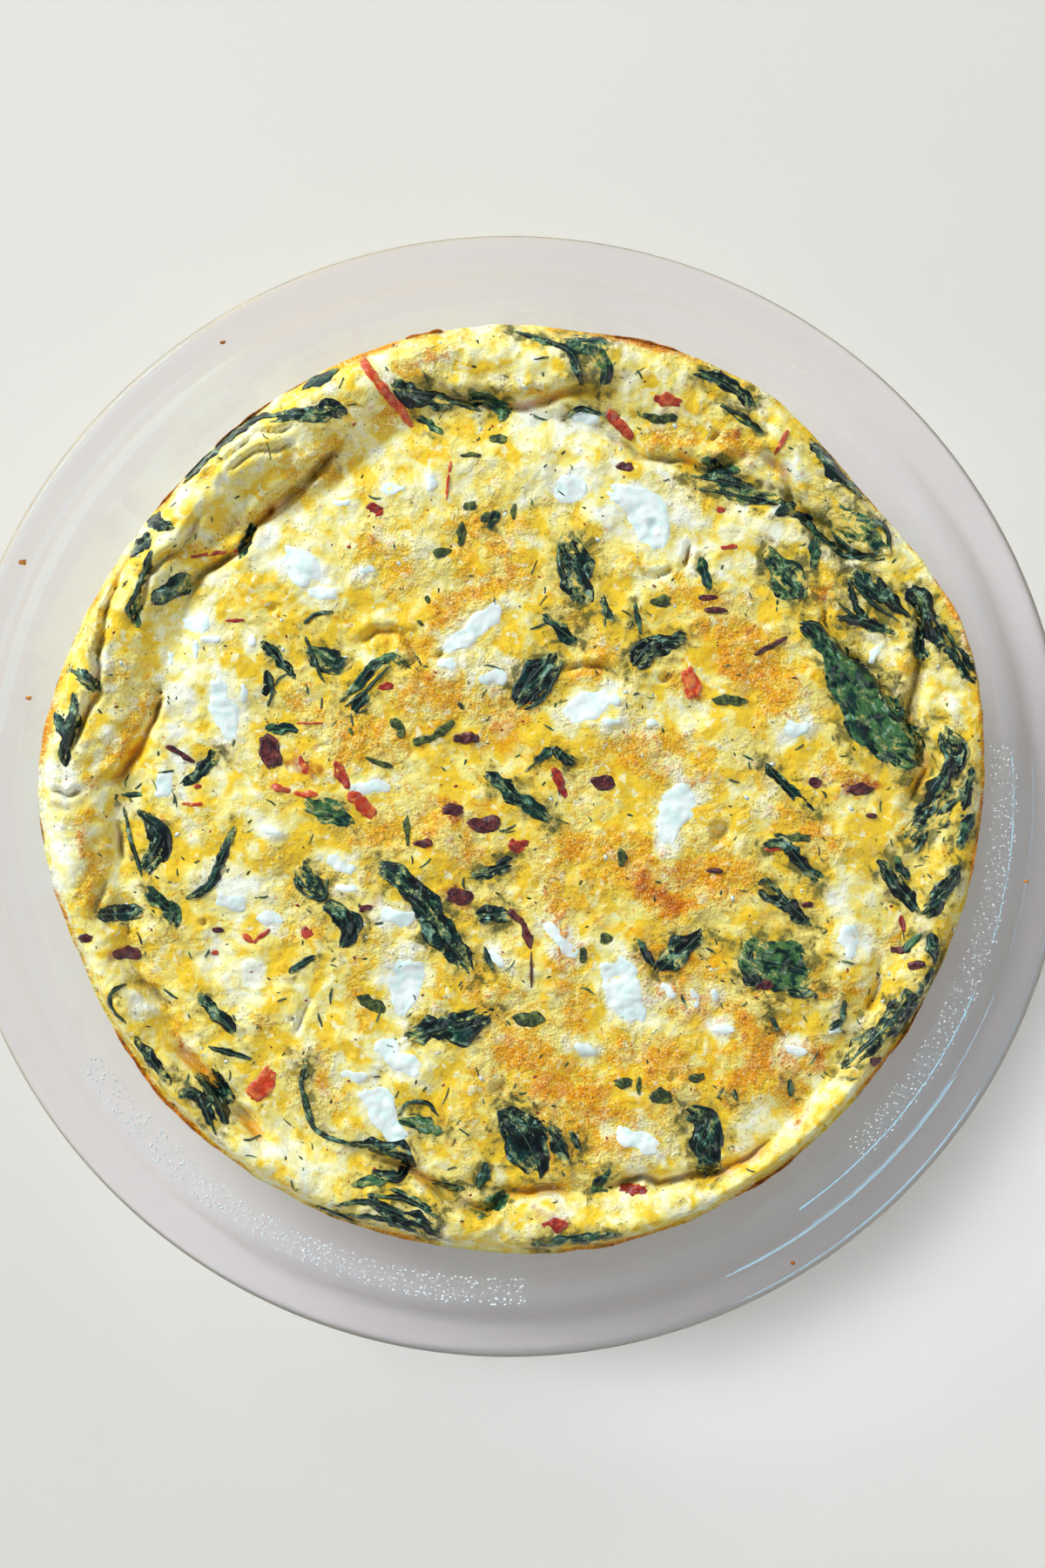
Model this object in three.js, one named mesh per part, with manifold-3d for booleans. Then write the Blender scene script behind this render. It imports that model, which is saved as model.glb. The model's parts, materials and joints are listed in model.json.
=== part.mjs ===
// Round glass pie dish with a baked spinach, soft cheese and dried tomato quiche without a pastry crust.
// Millimetres, +Z up, origin at the bottom centre of the dish. Seen from above, +X is right and +Y is up.

import * as THREE from "three";
import { mergeVertices } from "three/addons/utils/BufferGeometryUtils.js";
import Module from "manifold-3d";

const manifold = await Module();
manifold.setup();

// Glass dish
const RIM_RADIUS = 120;
const DISH_HEIGHT = 36;
const GLASS = 5.2;
const WALL_LEAN = THREE.MathUtils.degToRad(37);
const WALL_TOP_RADIUS = 109.3;
const WALL_TOP_HEIGHT = 34.2;
const INNER_CORNER = 10;
const RIM_ROUND = 2.3;
const FLANGE_FALL = 0.8;
const FLANGE_INSET = 1.6;
// Steps in and down from where the wall would meet the underside of the flange, two points of the outer turn
const OUTER_TURN = [[3.4, 1.8], [1, 0.4]];
const DISH_SEGMENTS = 60;

// Baked egg filling
const GAP = 0.3;
const MIDDLE_HEIGHT = 24.6;
const CREASE_HEIGHT = 22.9;
const CREST_HEIGHT = 27.2;
const CREST_SWELL = 0.9;
const CREST_POSITION = 0.33;
const EDGE_SHARE = 0.14;
const CREASE_REACH = 5;
const RIM_RIPPLE = 0.5;
const MIDDLE_RIPPLE = 0.85;
const CREASE_RIPPLE = 0.5;
const FILLING_SEGMENTS = 96;
// Distances from the middle every 20 degrees from +X: of the edge, and of the crease inside the puffed rim
const EDGE_RADII = [
  102.5, 104.2, 101.1, 103.2, 101.9, 101.7, 100.2, 98.9, 100.2,
  101.9, 99.6, 99.6, 99.4, 98.9, 99.8, 100, 99.8, 100.6,
];
const CREASE_RADII = [90, 84, 90, 83, 83, 85, 79, 84, 80, 85, 88.5, 90, 88, 86, 88, 94, 92.5, 91];
const LUMP_SEED = 7;
const RIPPLE_COUNT = 6;
const SHORTEST_RIPPLE = 20;
const RIPPLE_SPREAD = 26;
// Puffed rolls and lumps of the rim: x, y, half length, half width, turn, height
const SWELLS = [
  [-83.2, 16.9, 13, 5.3, 54, 1.6], [-91.7, -7.7, 8.5, 5.5, 80, 1.3], [-69.9, -63.5, 15, 4.5, -48, 0.9],
  [6.7, -92.9, 13, 4.5, 5, 1.2], [52.1, -80.6, 15, 4.5, 33, 1], [96, 21.6, 12, 4.5, 80, 1.1],
  [92.8, -18.1, 12, 4.5, 72, 1], [69.1, 69.9, 17, 4.5, -47, 1], [6.7, 94.4, 22, 4.5, 0, 1],
  [-47.2, 77.4, 20, 5.5, 34, 1.4], [-74.7, 51.9, 15, 5, 57, 0.9],
];

// Toppings
const LEAF_THICKNESS = 0.7;
const LEAF_WAVE = 0.35;
const CHEESE_THICKNESS = 1.7;
const TOMATO_THICKNESS = 1.1;
const TIP_WIDTH = 0.16;
const TIP_ROUND = 0.65;
const EDGE_THICKNESS = 0.55;
const CELL_LENGTH = 2.8;
const WIDE_PIECE = 7;
const BIT_HEIGHT = 0.6;
const BIT_DEPTH = 1.6;
const BIT_TOP = 0.55;
const BIT_CLEARANCE = 0.6;
const BIT_SHRINK = 0.85;
const SHORTEST_BIT = 2;

const GLASS_LOOK = { color: 0xc9c3cc, roughness: 0.05, metalness: 0, transparent: true, opacity: 0.45 };
const EGG_LOOK = { color: 0xe8c45a, roughness: 0.45, metalness: 0 };
const SPINACH_LOOK = { color: 0x24493f, roughness: 0.4, metalness: 0 };
const CHEESE_LOOK = { color: 0xeaf3ec, roughness: 0.5, metalness: 0 };
const TOMATO_LOOK = { color: 0xb2402a, roughness: 0.4, metalness: 0 };

// Spinach leaves, one row each: x, y, length, width, turn, bend, place of the widest part
const LEAVES = [
  [-61, 74, 20, 3, 39, 0, 0.4],
  [-44.5, 81.9, 17.4, 4.6, 4, 0, 0.7],
  [-18.3, 88.3, 15, 4.2, -22, 0, 0.5],
  [-6.6, 84.1, 9.5, 4.5, -10, 0, 0.5],
  [20.8, 91.8, 10, 5.2, -65, 0, 0.5],
  [44, 86.6, 13, 3.8, -28, 0, 0.5],
  [48.7, 66.5, 19, 7.2, -14, 0, 0.6],
  [68.2, 68.3, 13.5, 4, -47, 0, 0.5],
  [62.6, 60.6, 11, 3.2, -38, 0, 0.3],
  [75.8, 55.3, 14, 5.6, -35, 0, 0.6],
  [60.1, 46.6, 12, 8.6, -55, 0, 0.5],
  [79.2, 44.2, 11, 4.2, -35, 0, 0.5],
  [75.3, 37.2, 12, 3.4, 8, 0, 0.6],
  [88.8, 37.4, 14.5, 4.6, -68, 0, 0.4],
  [77.7, 21.6, 38, 12.8, -48, 0, 0.7],
  [95, 9.1, 11.5, 4.6, 74, 0, 0.5],
  [91.6, -4.2, 15, 5, 45, 0, 0.5],
  [85.1, -17.2, 12, 3.6, -50, 0, 0.5],
  [93.4, -20.6, 14.5, 4.2, 59, 0, 0.6],
  [81, -48, 25, 6.2, 47, -1.2, 0.35],
  [58.6, -36.5, 15.5, 13, -15, 0, 0.5],
  [60.3, -23.6, 14.5, 3.2, -28, 1.2, 0.4],
  [60.9, 2.1, 15, 3.2, -45, 0, 0.3],
  [33.2, 33.4, 14.5, 6.2, 14, 0, 0.72],
  [15, 48.5, 16.5, 9.5, -80, 0, 0.45],
  [6.7, 24.8, 14.5, 10.6, 55, 0, 0.45],
  [-39.7, 29.8, 11, 8, -20, 0, 0.5],
  [-31.8, 25.2, 15, 2.8, 44, 0, 0.4],
  [-68, 6.2, 11.5, 3.6, 42, 0, 0.8],
  [-79.9, -9, 14.5, 7.2, -72, 0, 0.4],
  [-74.9, -24.2, 8.8, 5.5, -50, 0, 0.5],
  [-75.5, -56.5, 13, 2.8, -55, 0, 0.5],
  [-65.8, -66.3, 12.5, 4, -47, 0, 0.5],
  [-30.4, -76.1, 21, 3.4, -28, 1.2, 0.75],
  [-22.5, -92.6, 15, 3.8, -20, 0, 0.6],
  [3.5, -75, 16, 11, -70, 0, 0.5],
  [-13.8, -51.3, 19, 5.2, 12, 0, 0.5],
  [42.7, -75.7, 16.5, 9.2, -80, 0, 0.45],
  [-18.3, -26.7, 32, 9.4, -50, 0, 0.6],
  [1, 0, 18, 6, -39, 0, 0.35],
  [-39.7, -3, 11, 5.4, -10, 0, 0.6],
  [-43.1, -18.7, 9.5, 6.2, -40, 0, 0.5],
  [-36.9, -27.4, 11, 6.4, 70, 0, 0.6],
];

// Soft white cheese, same columns
const CHEESES = [
  [27.5, 61.4, 20.5, 9.5, -48, 1.2, 0.68],
  [13.1, 67.8, 8.6, 7.2, 20, 0, 0.5],
  [-46, 50, 10, 8, 40, 0, 0.5],
  [-7.5, 37.2, 16, 6, 38, 0, 0.6],
  [18.8, 20.2, 11, 6.2, 25, 0, 0.5],
  [-61.7, 19.4, 14.5, 5.5, -72, 0, 0.6],
  [37, -4.9, 14, 7.4, 80, 0, 0.55],
  [24.9, -41.8, 15, 9.6, -65, 0, 0.45],
  [-21.3, -40.5, 12, 8.6, -60, 0, 0.4],
  [-29, -69, 12.5, 6.5, -50, 0, 0.5],
];

// Dried tomato, same columns
const TOMATOES = [
  [-25, 86, 17, 3, -52, 0, 0.4],
  [23.9, 80.5, 9.6, 3.2, -48, 0, 0.5],
  [-51.8, 9.9, 9, 5.4, -80, 0, 0.5],
  [39.8, 24.5, 8, 5.6, -65, 0, 0.5],
  [-53.9, -63.6, 9.4, 7, 30, 0, 0.5],
];

// Small pieces that are part of the filling's surface: x, y, length, width, turn
const SMALL_PIECES = [
  [-31.2, 79, 9.5, 3.4, 40], [10.2, 92.8, 12, 1.8, -44], [47.3, 79.8, 11, 2, -33],
  [11.2, 37, 8.5, 3.8, -42], [-50, 29.4, 9.5, 3.4, -55], [-53, 22.6, 7.6, 3, 85],
  [-84.6, -24.6, 9, 3.6, -5], [-63, -13.4, 14, 2, 64], [-64.7, -46.6, 10.5, 3.2, -52],
  [-61.7, -62.3, 11, 3.6, -75], [-44.4, -63.6, 15, 2, -85], [-29.3, -82.6, 10, 2.4, 8],
  [-19.8, -86.8, 12, 1.8, -32], [-3.9, -89.6, 6.6, 3.4, 35], [11, -96.6, 12, 2.8, 8],
  [37.7, -33.3, 14, 5.4, 42], [-4.6, -16.2, 9, 3.8, 28],
  [-43, -10.4, 8.6, 4.6, 5], [9.7, 9.4, 7, 3.4, -20], [-16.6, 13.9, 9, 2.6, 28],
  [-91.4, 25.2, 7.6, 3, -30], [-94, 13.6, 14, 3, 80], [-73.4, 44.2, 8, 5.8, 40], [-80.4, 43, 13, 2.2, 75],
  [-40.5, 43.6, 6.2, 4.6, -20], [-3.9, 26.2, 6.4, 6, 30], [-76.4, 2.9, 5.6, 5, 0],
  [-68.7, 36.4, 9, 4.6, 60], [62.6, 14.8, 6, 4.2, 80], [-28.4, -28.2, 5.6, 4.2, 10],
  [-34.5, -60, 5, 4.4, 0], [-25.6, -58.6, 8, 4.6, -30], [73.7, -31.4, 9.6, 5, -65],
  [-52.2, -26.1, 7, 5, 20], [-60.4, -23.4, 6.2, 4.6, -50], [-29.4, 3.4, 8, 3.6, 5],
  [9.9, -31, 10, 3.4, -70], [27.7, -75, 8.6, 6.4, 60], [-35.2, -15, 5.4, 4, 45],
  [12.4, 82.4, 11, 4.8, -5], [34.2, 85, 7.6, 3.8, -20], [-64.4, 52.6, 10, 2.4, 8], [20.3, 2.9, 5, 4.4, 0],
  [-43.7, 7.1, 6.6, 4.4, 45], [-29.6, -2.8, 6.2, 4, 30], [-5.2, -6.6, 5.6, 4.4, -40],
  [-10.4, -21.4, 6, 4, 70],
];

// Seeded random numbers from 0 to 1
function randomSource(seed) {
  let state = seed;
  return () => {
    state = (state + 0x6d2b79f5) | 0;
    let mixed = Math.imul(state ^ (state >>> 15), 1 | state);
    mixed = (mixed + Math.imul(mixed ^ (mixed >>> 7), 61 | mixed)) ^ mixed;
    return ((mixed ^ (mixed >>> 14)) >>> 0) / 4294967296;
  };
}

// A geometry with shared corners joined and empty triangles dropped
function closedGeometry(geometry) {
  geometry.deleteAttribute("normal");
  geometry.deleteAttribute("uv");
  const merged = mergeVertices(geometry, 1e-4);
  const corners = merged.index.array;
  const kept = [];
  for (let i = 0; i < corners.length; i += 3) {
    const [a, b, c] = [corners[i], corners[i + 1], corners[i + 2]];
    if (a !== b && b !== c && a !== c) kept.push(a, b, c);
  }
  merged.setIndex(kept);
  return merged;
}

function toSolid(geometry) {
  const vertProperties = new Float32Array(geometry.attributes.position.array);
  const triVerts = new Uint32Array(geometry.index.array);
  return new manifold.Manifold(new manifold.Mesh({ numProp: 3, vertProperties, triVerts }));
}

function toGeometry(solid) {
  const mesh = solid.getMesh();
  const geometry = new THREE.BufferGeometry();
  geometry.setAttribute("position", new THREE.BufferAttribute(new Float32Array(mesh.vertProperties), 3));
  geometry.setIndex(Array.from(mesh.triVerts));
  return geometry;
}

function namedMesh(name, geometry, look) {
  geometry.computeVertexNormals();
  const mesh = new THREE.Mesh(geometry, new THREE.MeshStandardMaterial(look));
  mesh.name = name;
  return mesh;
}

function arcPoints(centre, radius, from, to, steps) {
  const points = [];
  for (let i = 0; i <= steps; i++) {
    const angle = THREE.MathUtils.degToRad(THREE.MathUtils.lerp(from, to, i / steps));
    points.push(new THREE.Vector2(centre.x + radius * Math.cos(angle), centre.y + radius * Math.sin(angle)));
  }
  return points;
}

// The centre that the inner and outer corner between base and wall share
const CORNER_HEIGHT = GLASS + INNER_CORNER;
const WALL_INSET = Math.tan(WALL_LEAN) * (WALL_TOP_HEIGHT - CORNER_HEIGHT);
const CORNER_RADIUS = WALL_TOP_RADIUS - WALL_INSET - INNER_CORNER / Math.cos(WALL_LEAN);
const CORNER = new THREE.Vector2(CORNER_RADIUS, CORNER_HEIGHT);
const WALL_DEGREES = -THREE.MathUtils.radToDeg(WALL_LEAN);

function glassDish() {
  const lip = new THREE.Vector2(RIM_RADIUS - RIM_ROUND, DISH_HEIGHT - RIM_ROUND);
  const underFlange = DISH_HEIGHT - 2 * RIM_ROUND;
  const wallReach = GLASS / Math.cos(WALL_LEAN);
  const profile = [
    new THREE.Vector2(0, 0),
    ...arcPoints(CORNER, INNER_CORNER + GLASS, -90, WALL_DEGREES, 3),
    ...OUTER_TURN.map(([inward, down]) => {
      return new THREE.Vector2(WALL_TOP_RADIUS + wallReach - inward, underFlange - down);
    }),
    ...arcPoints(lip, RIM_ROUND, -80, 90, 4),
    new THREE.Vector2(WALL_TOP_RADIUS + FLANGE_INSET, DISH_HEIGHT - FLANGE_FALL),
    new THREE.Vector2(WALL_TOP_RADIUS, WALL_TOP_HEIGHT),
    ...arcPoints(CORNER, INNER_CORNER, WALL_DEGREES, -90, 3),
    new THREE.Vector2(0, GLASS),
  ];
  const geometry = new THREE.LatheGeometry(profile, DISH_SEGMENTS);
  geometry.rotateX(Math.PI / 2);
  return closedGeometry(geometry);
}

// Radius of the filling's side at a height, just inside the glass
function sideRadius(height) {
  return WALL_TOP_RADIUS - Math.tan(WALL_LEAN) * (WALL_TOP_HEIGHT - height) - GAP / Math.cos(WALL_LEAN);
}

// A closed smooth curve through distances that stand at equal angles
function radiusAround(radii) {
  const curve = new THREE.CatmullRomCurve3(
    radii.map((radius, i) => new THREE.Vector3(radius, i, 0)),
    true,
  );
  return (angle) => {
    const turn = angle / (2 * Math.PI);
    return curve.getPoint(turn - Math.floor(turn)).x;
  };
}

const edgeRadius = radiusAround(EDGE_RADII);
const creaseRadius = radiusAround(CREASE_RADII);

function edgeHeight(angle) {
  const below = (WALL_TOP_RADIUS - GAP / Math.cos(WALL_LEAN) - edgeRadius(angle)) / Math.tan(WALL_LEAN);
  return WALL_TOP_HEIGHT - below;
}

// Low waves of the baked surface, a few seeded ripples crossing each other
const lumpRandom = randomSource(LUMP_SEED);
const RIPPLES = Array.from({ length: RIPPLE_COUNT }, () => ({
  across: lumpRandom() * Math.PI,
  length: SHORTEST_RIPPLE + RIPPLE_SPREAD * lumpRandom(),
  phase: lumpRandom() * 2 * Math.PI,
}));

function ripple(x, y) {
  let sum = 0;
  for (const wave of RIPPLES) {
    const way = x * Math.cos(wave.across) + y * Math.sin(wave.across);
    sum += Math.sin((2 * Math.PI * way) / wave.length + wave.phase);
  }
  return sum / RIPPLES.length;
}

// Folds of the puffed rim, which swell and pinch along the way round
function rimFold(angle) {
  return 0.6 * Math.sin(9 * angle + 1.1) + 0.5 * Math.sin(14 * angle + 0.4) + 0.3 * Math.sin(23 * angle);
}

function swellHeight(x, y) {
  let sum = 0;
  for (const [middleX, middleY, halfLength, halfWidth, turn, height] of SWELLS) {
    const [cos, sin] = [Math.cos(THREE.MathUtils.degToRad(turn)), Math.sin(THREE.MathUtils.degToRad(turn))];
    const along = ((x - middleX) * cos + (y - middleY) * sin) / halfLength;
    const across = ((y - middleY) * cos - (x - middleX) * sin) / halfWidth;
    sum += height * Math.exp(-along * along - across * across);
  }
  return sum;
}

// Height of the puffed rim, from 0 at the edge to 1 at the crease
function rimHeight(share, angle, x, y) {
  const base = THREE.MathUtils.lerp(edgeHeight(angle), CREASE_HEIGHT, share);
  const baseAtCrest = THREE.MathUtils.lerp(edgeHeight(angle), CREASE_HEIGHT, CREST_POSITION);
  const crest = CREST_HEIGHT + CREST_SWELL * Math.cos(angle - THREE.MathUtils.degToRad(150)) + rimFold(angle);
  const swell = Math.sin(Math.PI * Math.pow(share, Math.log(0.5) / Math.log(CREST_POSITION)));
  const lumps = Math.min(1, share / EDGE_SHARE) * swellHeight(x, y);
  return base + (crest - baseAtCrest) * swell + lumps + RIM_RIPPLE * share * ripple(x, y);
}

// Height of the surface inside the crease
function middleHeight(inside, x, y) {
  const hollow = Math.exp(-((inside / CREASE_REACH) ** 2));
  const level = THREE.MathUtils.lerp(MIDDLE_HEIGHT, CREASE_HEIGHT, hollow);
  const unevenness = THREE.MathUtils.lerp(MIDDLE_RIPPLE, CREASE_RIPPLE, hollow);
  return level + swellHeight(x, y) + unevenness * ripple(x, y);
}

// Rings of the filling from the middle of its underside, up the side and over the top to the middle again
const SIDE_RINGS = [0.5, 1];
const RIM_RINGS = [0.05, EDGE_SHARE, 0.3, 0.48, 0.66, 0.84, 1];
const MIDDLE_RINGS = [0.965, 0.92, 0.85, 0.76, 0.65, 0.52, 0.38, 0.22, 0];

function fillingRings(angle) {
  const floorCorner = arcPoints(CORNER, INNER_CORNER - GAP, -90, WALL_DEGREES, 3);
  const rings = [[0, GLASS + GAP], ...floorCorner.map((point) => [point.x, point.y])];
  const cornerTop = floorCorner[floorCorner.length - 1].y;
  for (const share of SIDE_RINGS) {
    const height = THREE.MathUtils.lerp(cornerTop, edgeHeight(angle), share);
    rings.push([sideRadius(height), height]);
  }
  const way = [Math.cos(angle), Math.sin(angle)];
  for (const share of RIM_RINGS) {
    const radius = THREE.MathUtils.lerp(edgeRadius(angle), creaseRadius(angle), share);
    rings.push([radius, rimHeight(share, angle, radius * way[0], radius * way[1])]);
  }
  for (const share of MIDDLE_RINGS) {
    const radius = share * creaseRadius(angle);
    rings.push([radius, middleHeight(creaseRadius(angle) - radius, radius * way[0], radius * way[1])]);
  }
  return rings;
}

function fillingCore() {
  const flat = fillingRings(0).map(([radius, height]) => new THREE.Vector2(radius, height));
  const geometry = new THREE.LatheGeometry(flat, FILLING_SEGMENTS);
  const position = geometry.attributes.position;
  for (let i = 0; i <= FILLING_SEGMENTS; i++) {
    const angle = (2 * Math.PI * (i % FILLING_SEGMENTS)) / FILLING_SEGMENTS;
    fillingRings(angle).forEach(([radius, height], j) => {
      position.setXYZ(i * flat.length + j, radius * Math.cos(angle), radius * Math.sin(angle), height);
    });
  }
  return closedGeometry(geometry);
}

const core = fillingCore();
const SECTOR = (2 * Math.PI) / FILLING_SEGMENTS;

function sectorOf(x, y) {
  const turn = Math.atan2(y, x) / (2 * Math.PI);
  return Math.floor((turn - Math.floor(turn)) * FILLING_SEGMENTS) % FILLING_SEGMENTS;
}

function cornerPoint(index) {
  return new THREE.Vector3().fromBufferAttribute(core.attributes.position, index);
}

// The triangles of the filling's top, gathered by the sector that they lie in
function topTriangles() {
  const sectors = Array.from({ length: FILLING_SEGMENTS }, () => []);
  const corners = core.index.array;
  for (let i = 0; i < corners.length; i += 3) {
    const points = [0, 1, 2].map((j) => cornerPoint(corners[i + j]));
    const triangle = new THREE.Triangle(...points);
    if (triangle.getNormal(new THREE.Vector3()).z < 0.05) continue;
    const middle = triangle.getMidpoint(new THREE.Vector3());
    const heights = new THREE.Vector3(...points.map((point) => point.z));
    points.forEach((point) => point.setZ(0));
    sectors[sectorOf(middle.x, middle.y)].push({ plan: triangle, heights });
  }
  return sectors;
}

const sectors = topTriangles();

// Height of the filling's faceted top under a point
function topHeight(x, y) {
  const point = new THREE.Vector3(x, y, 0);
  const shares = new THREE.Vector3();
  for (const { plan, heights } of sectors[sectorOf(x, y)]) {
    plan.getBarycoord(point, shares);
    if (Math.min(shares.x, shares.y, shares.z) >= -1e-6) return shares.dot(heights);
  }
  return CREASE_HEIGHT;
}

function readPiece([x, y, length, width, turn, bend = 0, widest = 0.5]) {
  return { x, y, length, width, turn: THREE.MathUtils.degToRad(turn), bend, widest };
}

// Half the width of a piece at a share of its length, 0 to 1
function halfWidth(piece, share) {
  const along = Math.pow(THREE.MathUtils.clamp(share, 0, 1), Math.log(0.5) / Math.log(piece.widest));
  const swell = Math.pow(Math.sin(Math.PI * along), TIP_ROUND);
  return 0.5 * piece.width * (TIP_WIDTH + (1 - TIP_WIDTH) * swell);
}

// A point of a piece in the plan, from a share of its length and a share of its width, -1 to 1
function placeOnPiece(piece, share, side) {
  const along = (share - 0.5) * piece.length;
  const across = piece.bend * (1 - (2 * share - 1) ** 2) + side * halfWidth(piece, share);
  const [cos, sin] = [Math.cos(piece.turn), Math.sin(piece.turn)];
  return [piece.x + along * cos - across * sin, piece.y + along * sin + across * cos];
}

// Highest part of the filling under one cell of a piece
function restHeight(piece, share, side, cellLength, cellWidth) {
  const near = [[0, 0], [0.5, 0], [-0.5, 0], [0, 0.5], [0, -0.5]];
  const heights = near.map(([a, b]) => {
    const nearShare = THREE.MathUtils.clamp(share + a * cellLength, 0, 1);
    const nearSide = THREE.MathUtils.clamp(side + b * cellWidth, -1, 1);
    return topHeight(...placeOnPiece(piece, nearShare, nearSide));
  });
  return Math.max(...heights);
}

// A thin wavy solid whose two faces are split alike
function layPiece(row, thickness, wave) {
  const piece = readPiece(row);
  const cells = THREE.MathUtils.clamp(Math.round(piece.length / CELL_LENGTH), 4, 9);
  const rows = piece.width > WIDE_PIECE ? 4 : 2;
  const geometry = closedGeometry(new THREE.BoxGeometry(1, 1, 1, cells, rows, 1));
  const position = geometry.attributes.position;
  for (let i = 0; i < position.count; i++) {
    const share = position.getX(i) + 0.5;
    const side = 2 * position.getY(i);
    const [x, y] = placeOnPiece(piece, share, side);
    const rest = restHeight(piece, share, side, 1 / cells, 2 / rows) + GAP;
    const crumple = wave * (1 + Math.sin(1.3 * x + 0.9 * y) * Math.cos(1.1 * y - 0.5 * x));
    const dome = (1 - side * side) * Math.sin(Math.PI * share);
    const domed = thickness * THREE.MathUtils.lerp(EDGE_THICKNESS, 1, dome);
    position.setZ(i, rest + crumple + (position.getZ(i) > 0 ? domed : 0));
    position.setX(i, x);
    position.setY(i, y);
  }
  return geometry;
}

const laidPieces = [...LEAVES, ...CHEESES, ...TOMATOES].map(readPiece);

// Whether a point is clear of every loose topping
function isClear(x, y, margin) {
  return laidPieces.every((piece) => {
    const [cos, sin] = [Math.cos(piece.turn), Math.sin(piece.turn)];
    const along = (x - piece.x) * cos + (y - piece.y) * sin;
    const across = (y - piece.y) * cos - (x - piece.x) * sin;
    if (Math.abs(along) > piece.length / 2 + margin) return true;
    const share = along / piece.length + 0.5;
    const middle = piece.bend * (1 - (2 * share - 1) ** 2);
    return Math.abs(across - middle) > halfWidth(piece, share) + margin;
  });
}

// A low six sided lozenge sunk into the surface, its ends shortened until it is clear
function smallPiece(row) {
  const piece = readPiece(row);
  while (piece.length > SHORTEST_BIT) {
    const outline = [0, 0.25, 0.5, 0.75, 1].flatMap((share) => [
      placeOnPiece(piece, share, -1),
      placeOnPiece(piece, share, 1),
    ]);
    if (outline.every(([x, y]) => isClear(x, y, BIT_CLEARANCE))) break;
    piece.length *= BIT_SHRINK;
    piece.width *= BIT_SHRINK;
  }
  if (piece.length <= SHORTEST_BIT) return null;
  const height = BIT_DEPTH + BIT_HEIGHT;
  const geometry = closedGeometry(new THREE.CylinderGeometry(BIT_TOP, 1, height, 6, 1));
  geometry.rotateX(Math.PI / 2);
  geometry.scale(piece.length / 2, piece.width / 2, 1);
  tiltToSurface(geometry, piece, height / 2 - BIT_DEPTH);
  return toSolid(geometry);
}

// Each corner of a small piece follows the filling's height below it
function tiltToSurface(geometry, piece, lift) {
  const position = geometry.attributes.position;
  const [cos, sin] = [Math.cos(piece.turn), Math.sin(piece.turn)];
  for (let i = 0; i < position.count; i++) {
    const x = piece.x + position.getX(i) * cos - position.getY(i) * sin;
    const y = piece.y + position.getX(i) * sin + position.getY(i) * cos;
    position.setXYZ(i, x, y, position.getZ(i) + lift + topHeight(x, y));
  }
}

function fillingWithBits() {
  let solid = toSolid(core);
  for (const row of SMALL_PIECES) {
    const bit = smallPiece(row);
    if (bit) solid = solid.add(bit);
  }
  return toGeometry(solid);
}

const group = new THREE.Group();
group.add(namedMesh("glass_dish", glassDish(), GLASS_LOOK));
group.add(namedMesh("egg_filling", fillingWithBits(), EGG_LOOK));

function addPieces(rows, title, thickness, wave, look) {
  rows.forEach((row, i) => {
    const name = `${title}_${String(i + 1).padStart(2, "0")}`;
    group.add(namedMesh(name, layPiece(row, thickness, wave), look));
  });
}

addPieces(LEAVES, "spinach_leaf", LEAF_THICKNESS, LEAF_WAVE, SPINACH_LOOK);
addPieces(CHEESES, "white_cheese", CHEESE_THICKNESS, 0, CHEESE_LOOK);
addPieces(TOMATOES, "dried_tomato", TOMATO_THICKNESS, 0, TOMATO_LOOK);

export default group;
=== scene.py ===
# %% [markdown]
# # A baked quiche in a glass dish
# The quiche is egg, spinach, soft white cheese and dried tomato, baked without pastry in a clear glass dish.
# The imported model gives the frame: every piece below lies where its solid lies, in metres, +Z up.

# %% The frame and the tools
import json
import math
from functools import partial

import bmesh
import bpy
import numpy as np
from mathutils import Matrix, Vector

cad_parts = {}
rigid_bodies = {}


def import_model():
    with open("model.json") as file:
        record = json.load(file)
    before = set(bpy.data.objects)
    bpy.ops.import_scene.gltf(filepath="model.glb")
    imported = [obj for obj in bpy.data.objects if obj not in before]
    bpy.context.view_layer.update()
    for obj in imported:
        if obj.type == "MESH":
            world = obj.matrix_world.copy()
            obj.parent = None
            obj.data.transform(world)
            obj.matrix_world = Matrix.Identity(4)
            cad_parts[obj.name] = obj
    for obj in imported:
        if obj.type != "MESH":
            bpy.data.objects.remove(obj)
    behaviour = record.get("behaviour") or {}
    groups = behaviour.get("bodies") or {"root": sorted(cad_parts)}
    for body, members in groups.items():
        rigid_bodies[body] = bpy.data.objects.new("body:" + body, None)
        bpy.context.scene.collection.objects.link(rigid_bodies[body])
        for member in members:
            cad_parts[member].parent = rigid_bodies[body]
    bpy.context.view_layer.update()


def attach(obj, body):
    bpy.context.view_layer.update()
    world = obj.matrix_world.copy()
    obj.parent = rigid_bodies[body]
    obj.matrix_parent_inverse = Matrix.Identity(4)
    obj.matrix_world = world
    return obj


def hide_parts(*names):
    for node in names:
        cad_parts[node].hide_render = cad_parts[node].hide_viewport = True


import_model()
MM = 0.001

# %% [markdown]
# ## Sizes of the dish and the filling
# The same named sizes as the solids have, in millimetres, so that the finer pieces keep their form.

# %% Named sizes
RIM_RADIUS = 120
DISH_HEIGHT = 36
GLASS = 5.2
LEAN = math.radians(37)
WALL_TOP_RADIUS = 109.3
WALL_TOP_HEIGHT = 34.2
INNER_CORNER = 10
RIM_ROUND = 2.3
GAP = 0.3
MIDDLE_HEIGHT = 24.6
CREASE_HEIGHT = 22.9
CREST_HEIGHT = 27.2
CREST_SWELL = 0.9
CREST_POSITION = 0.33
HIGHEST_CREST = math.radians(150)
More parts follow.
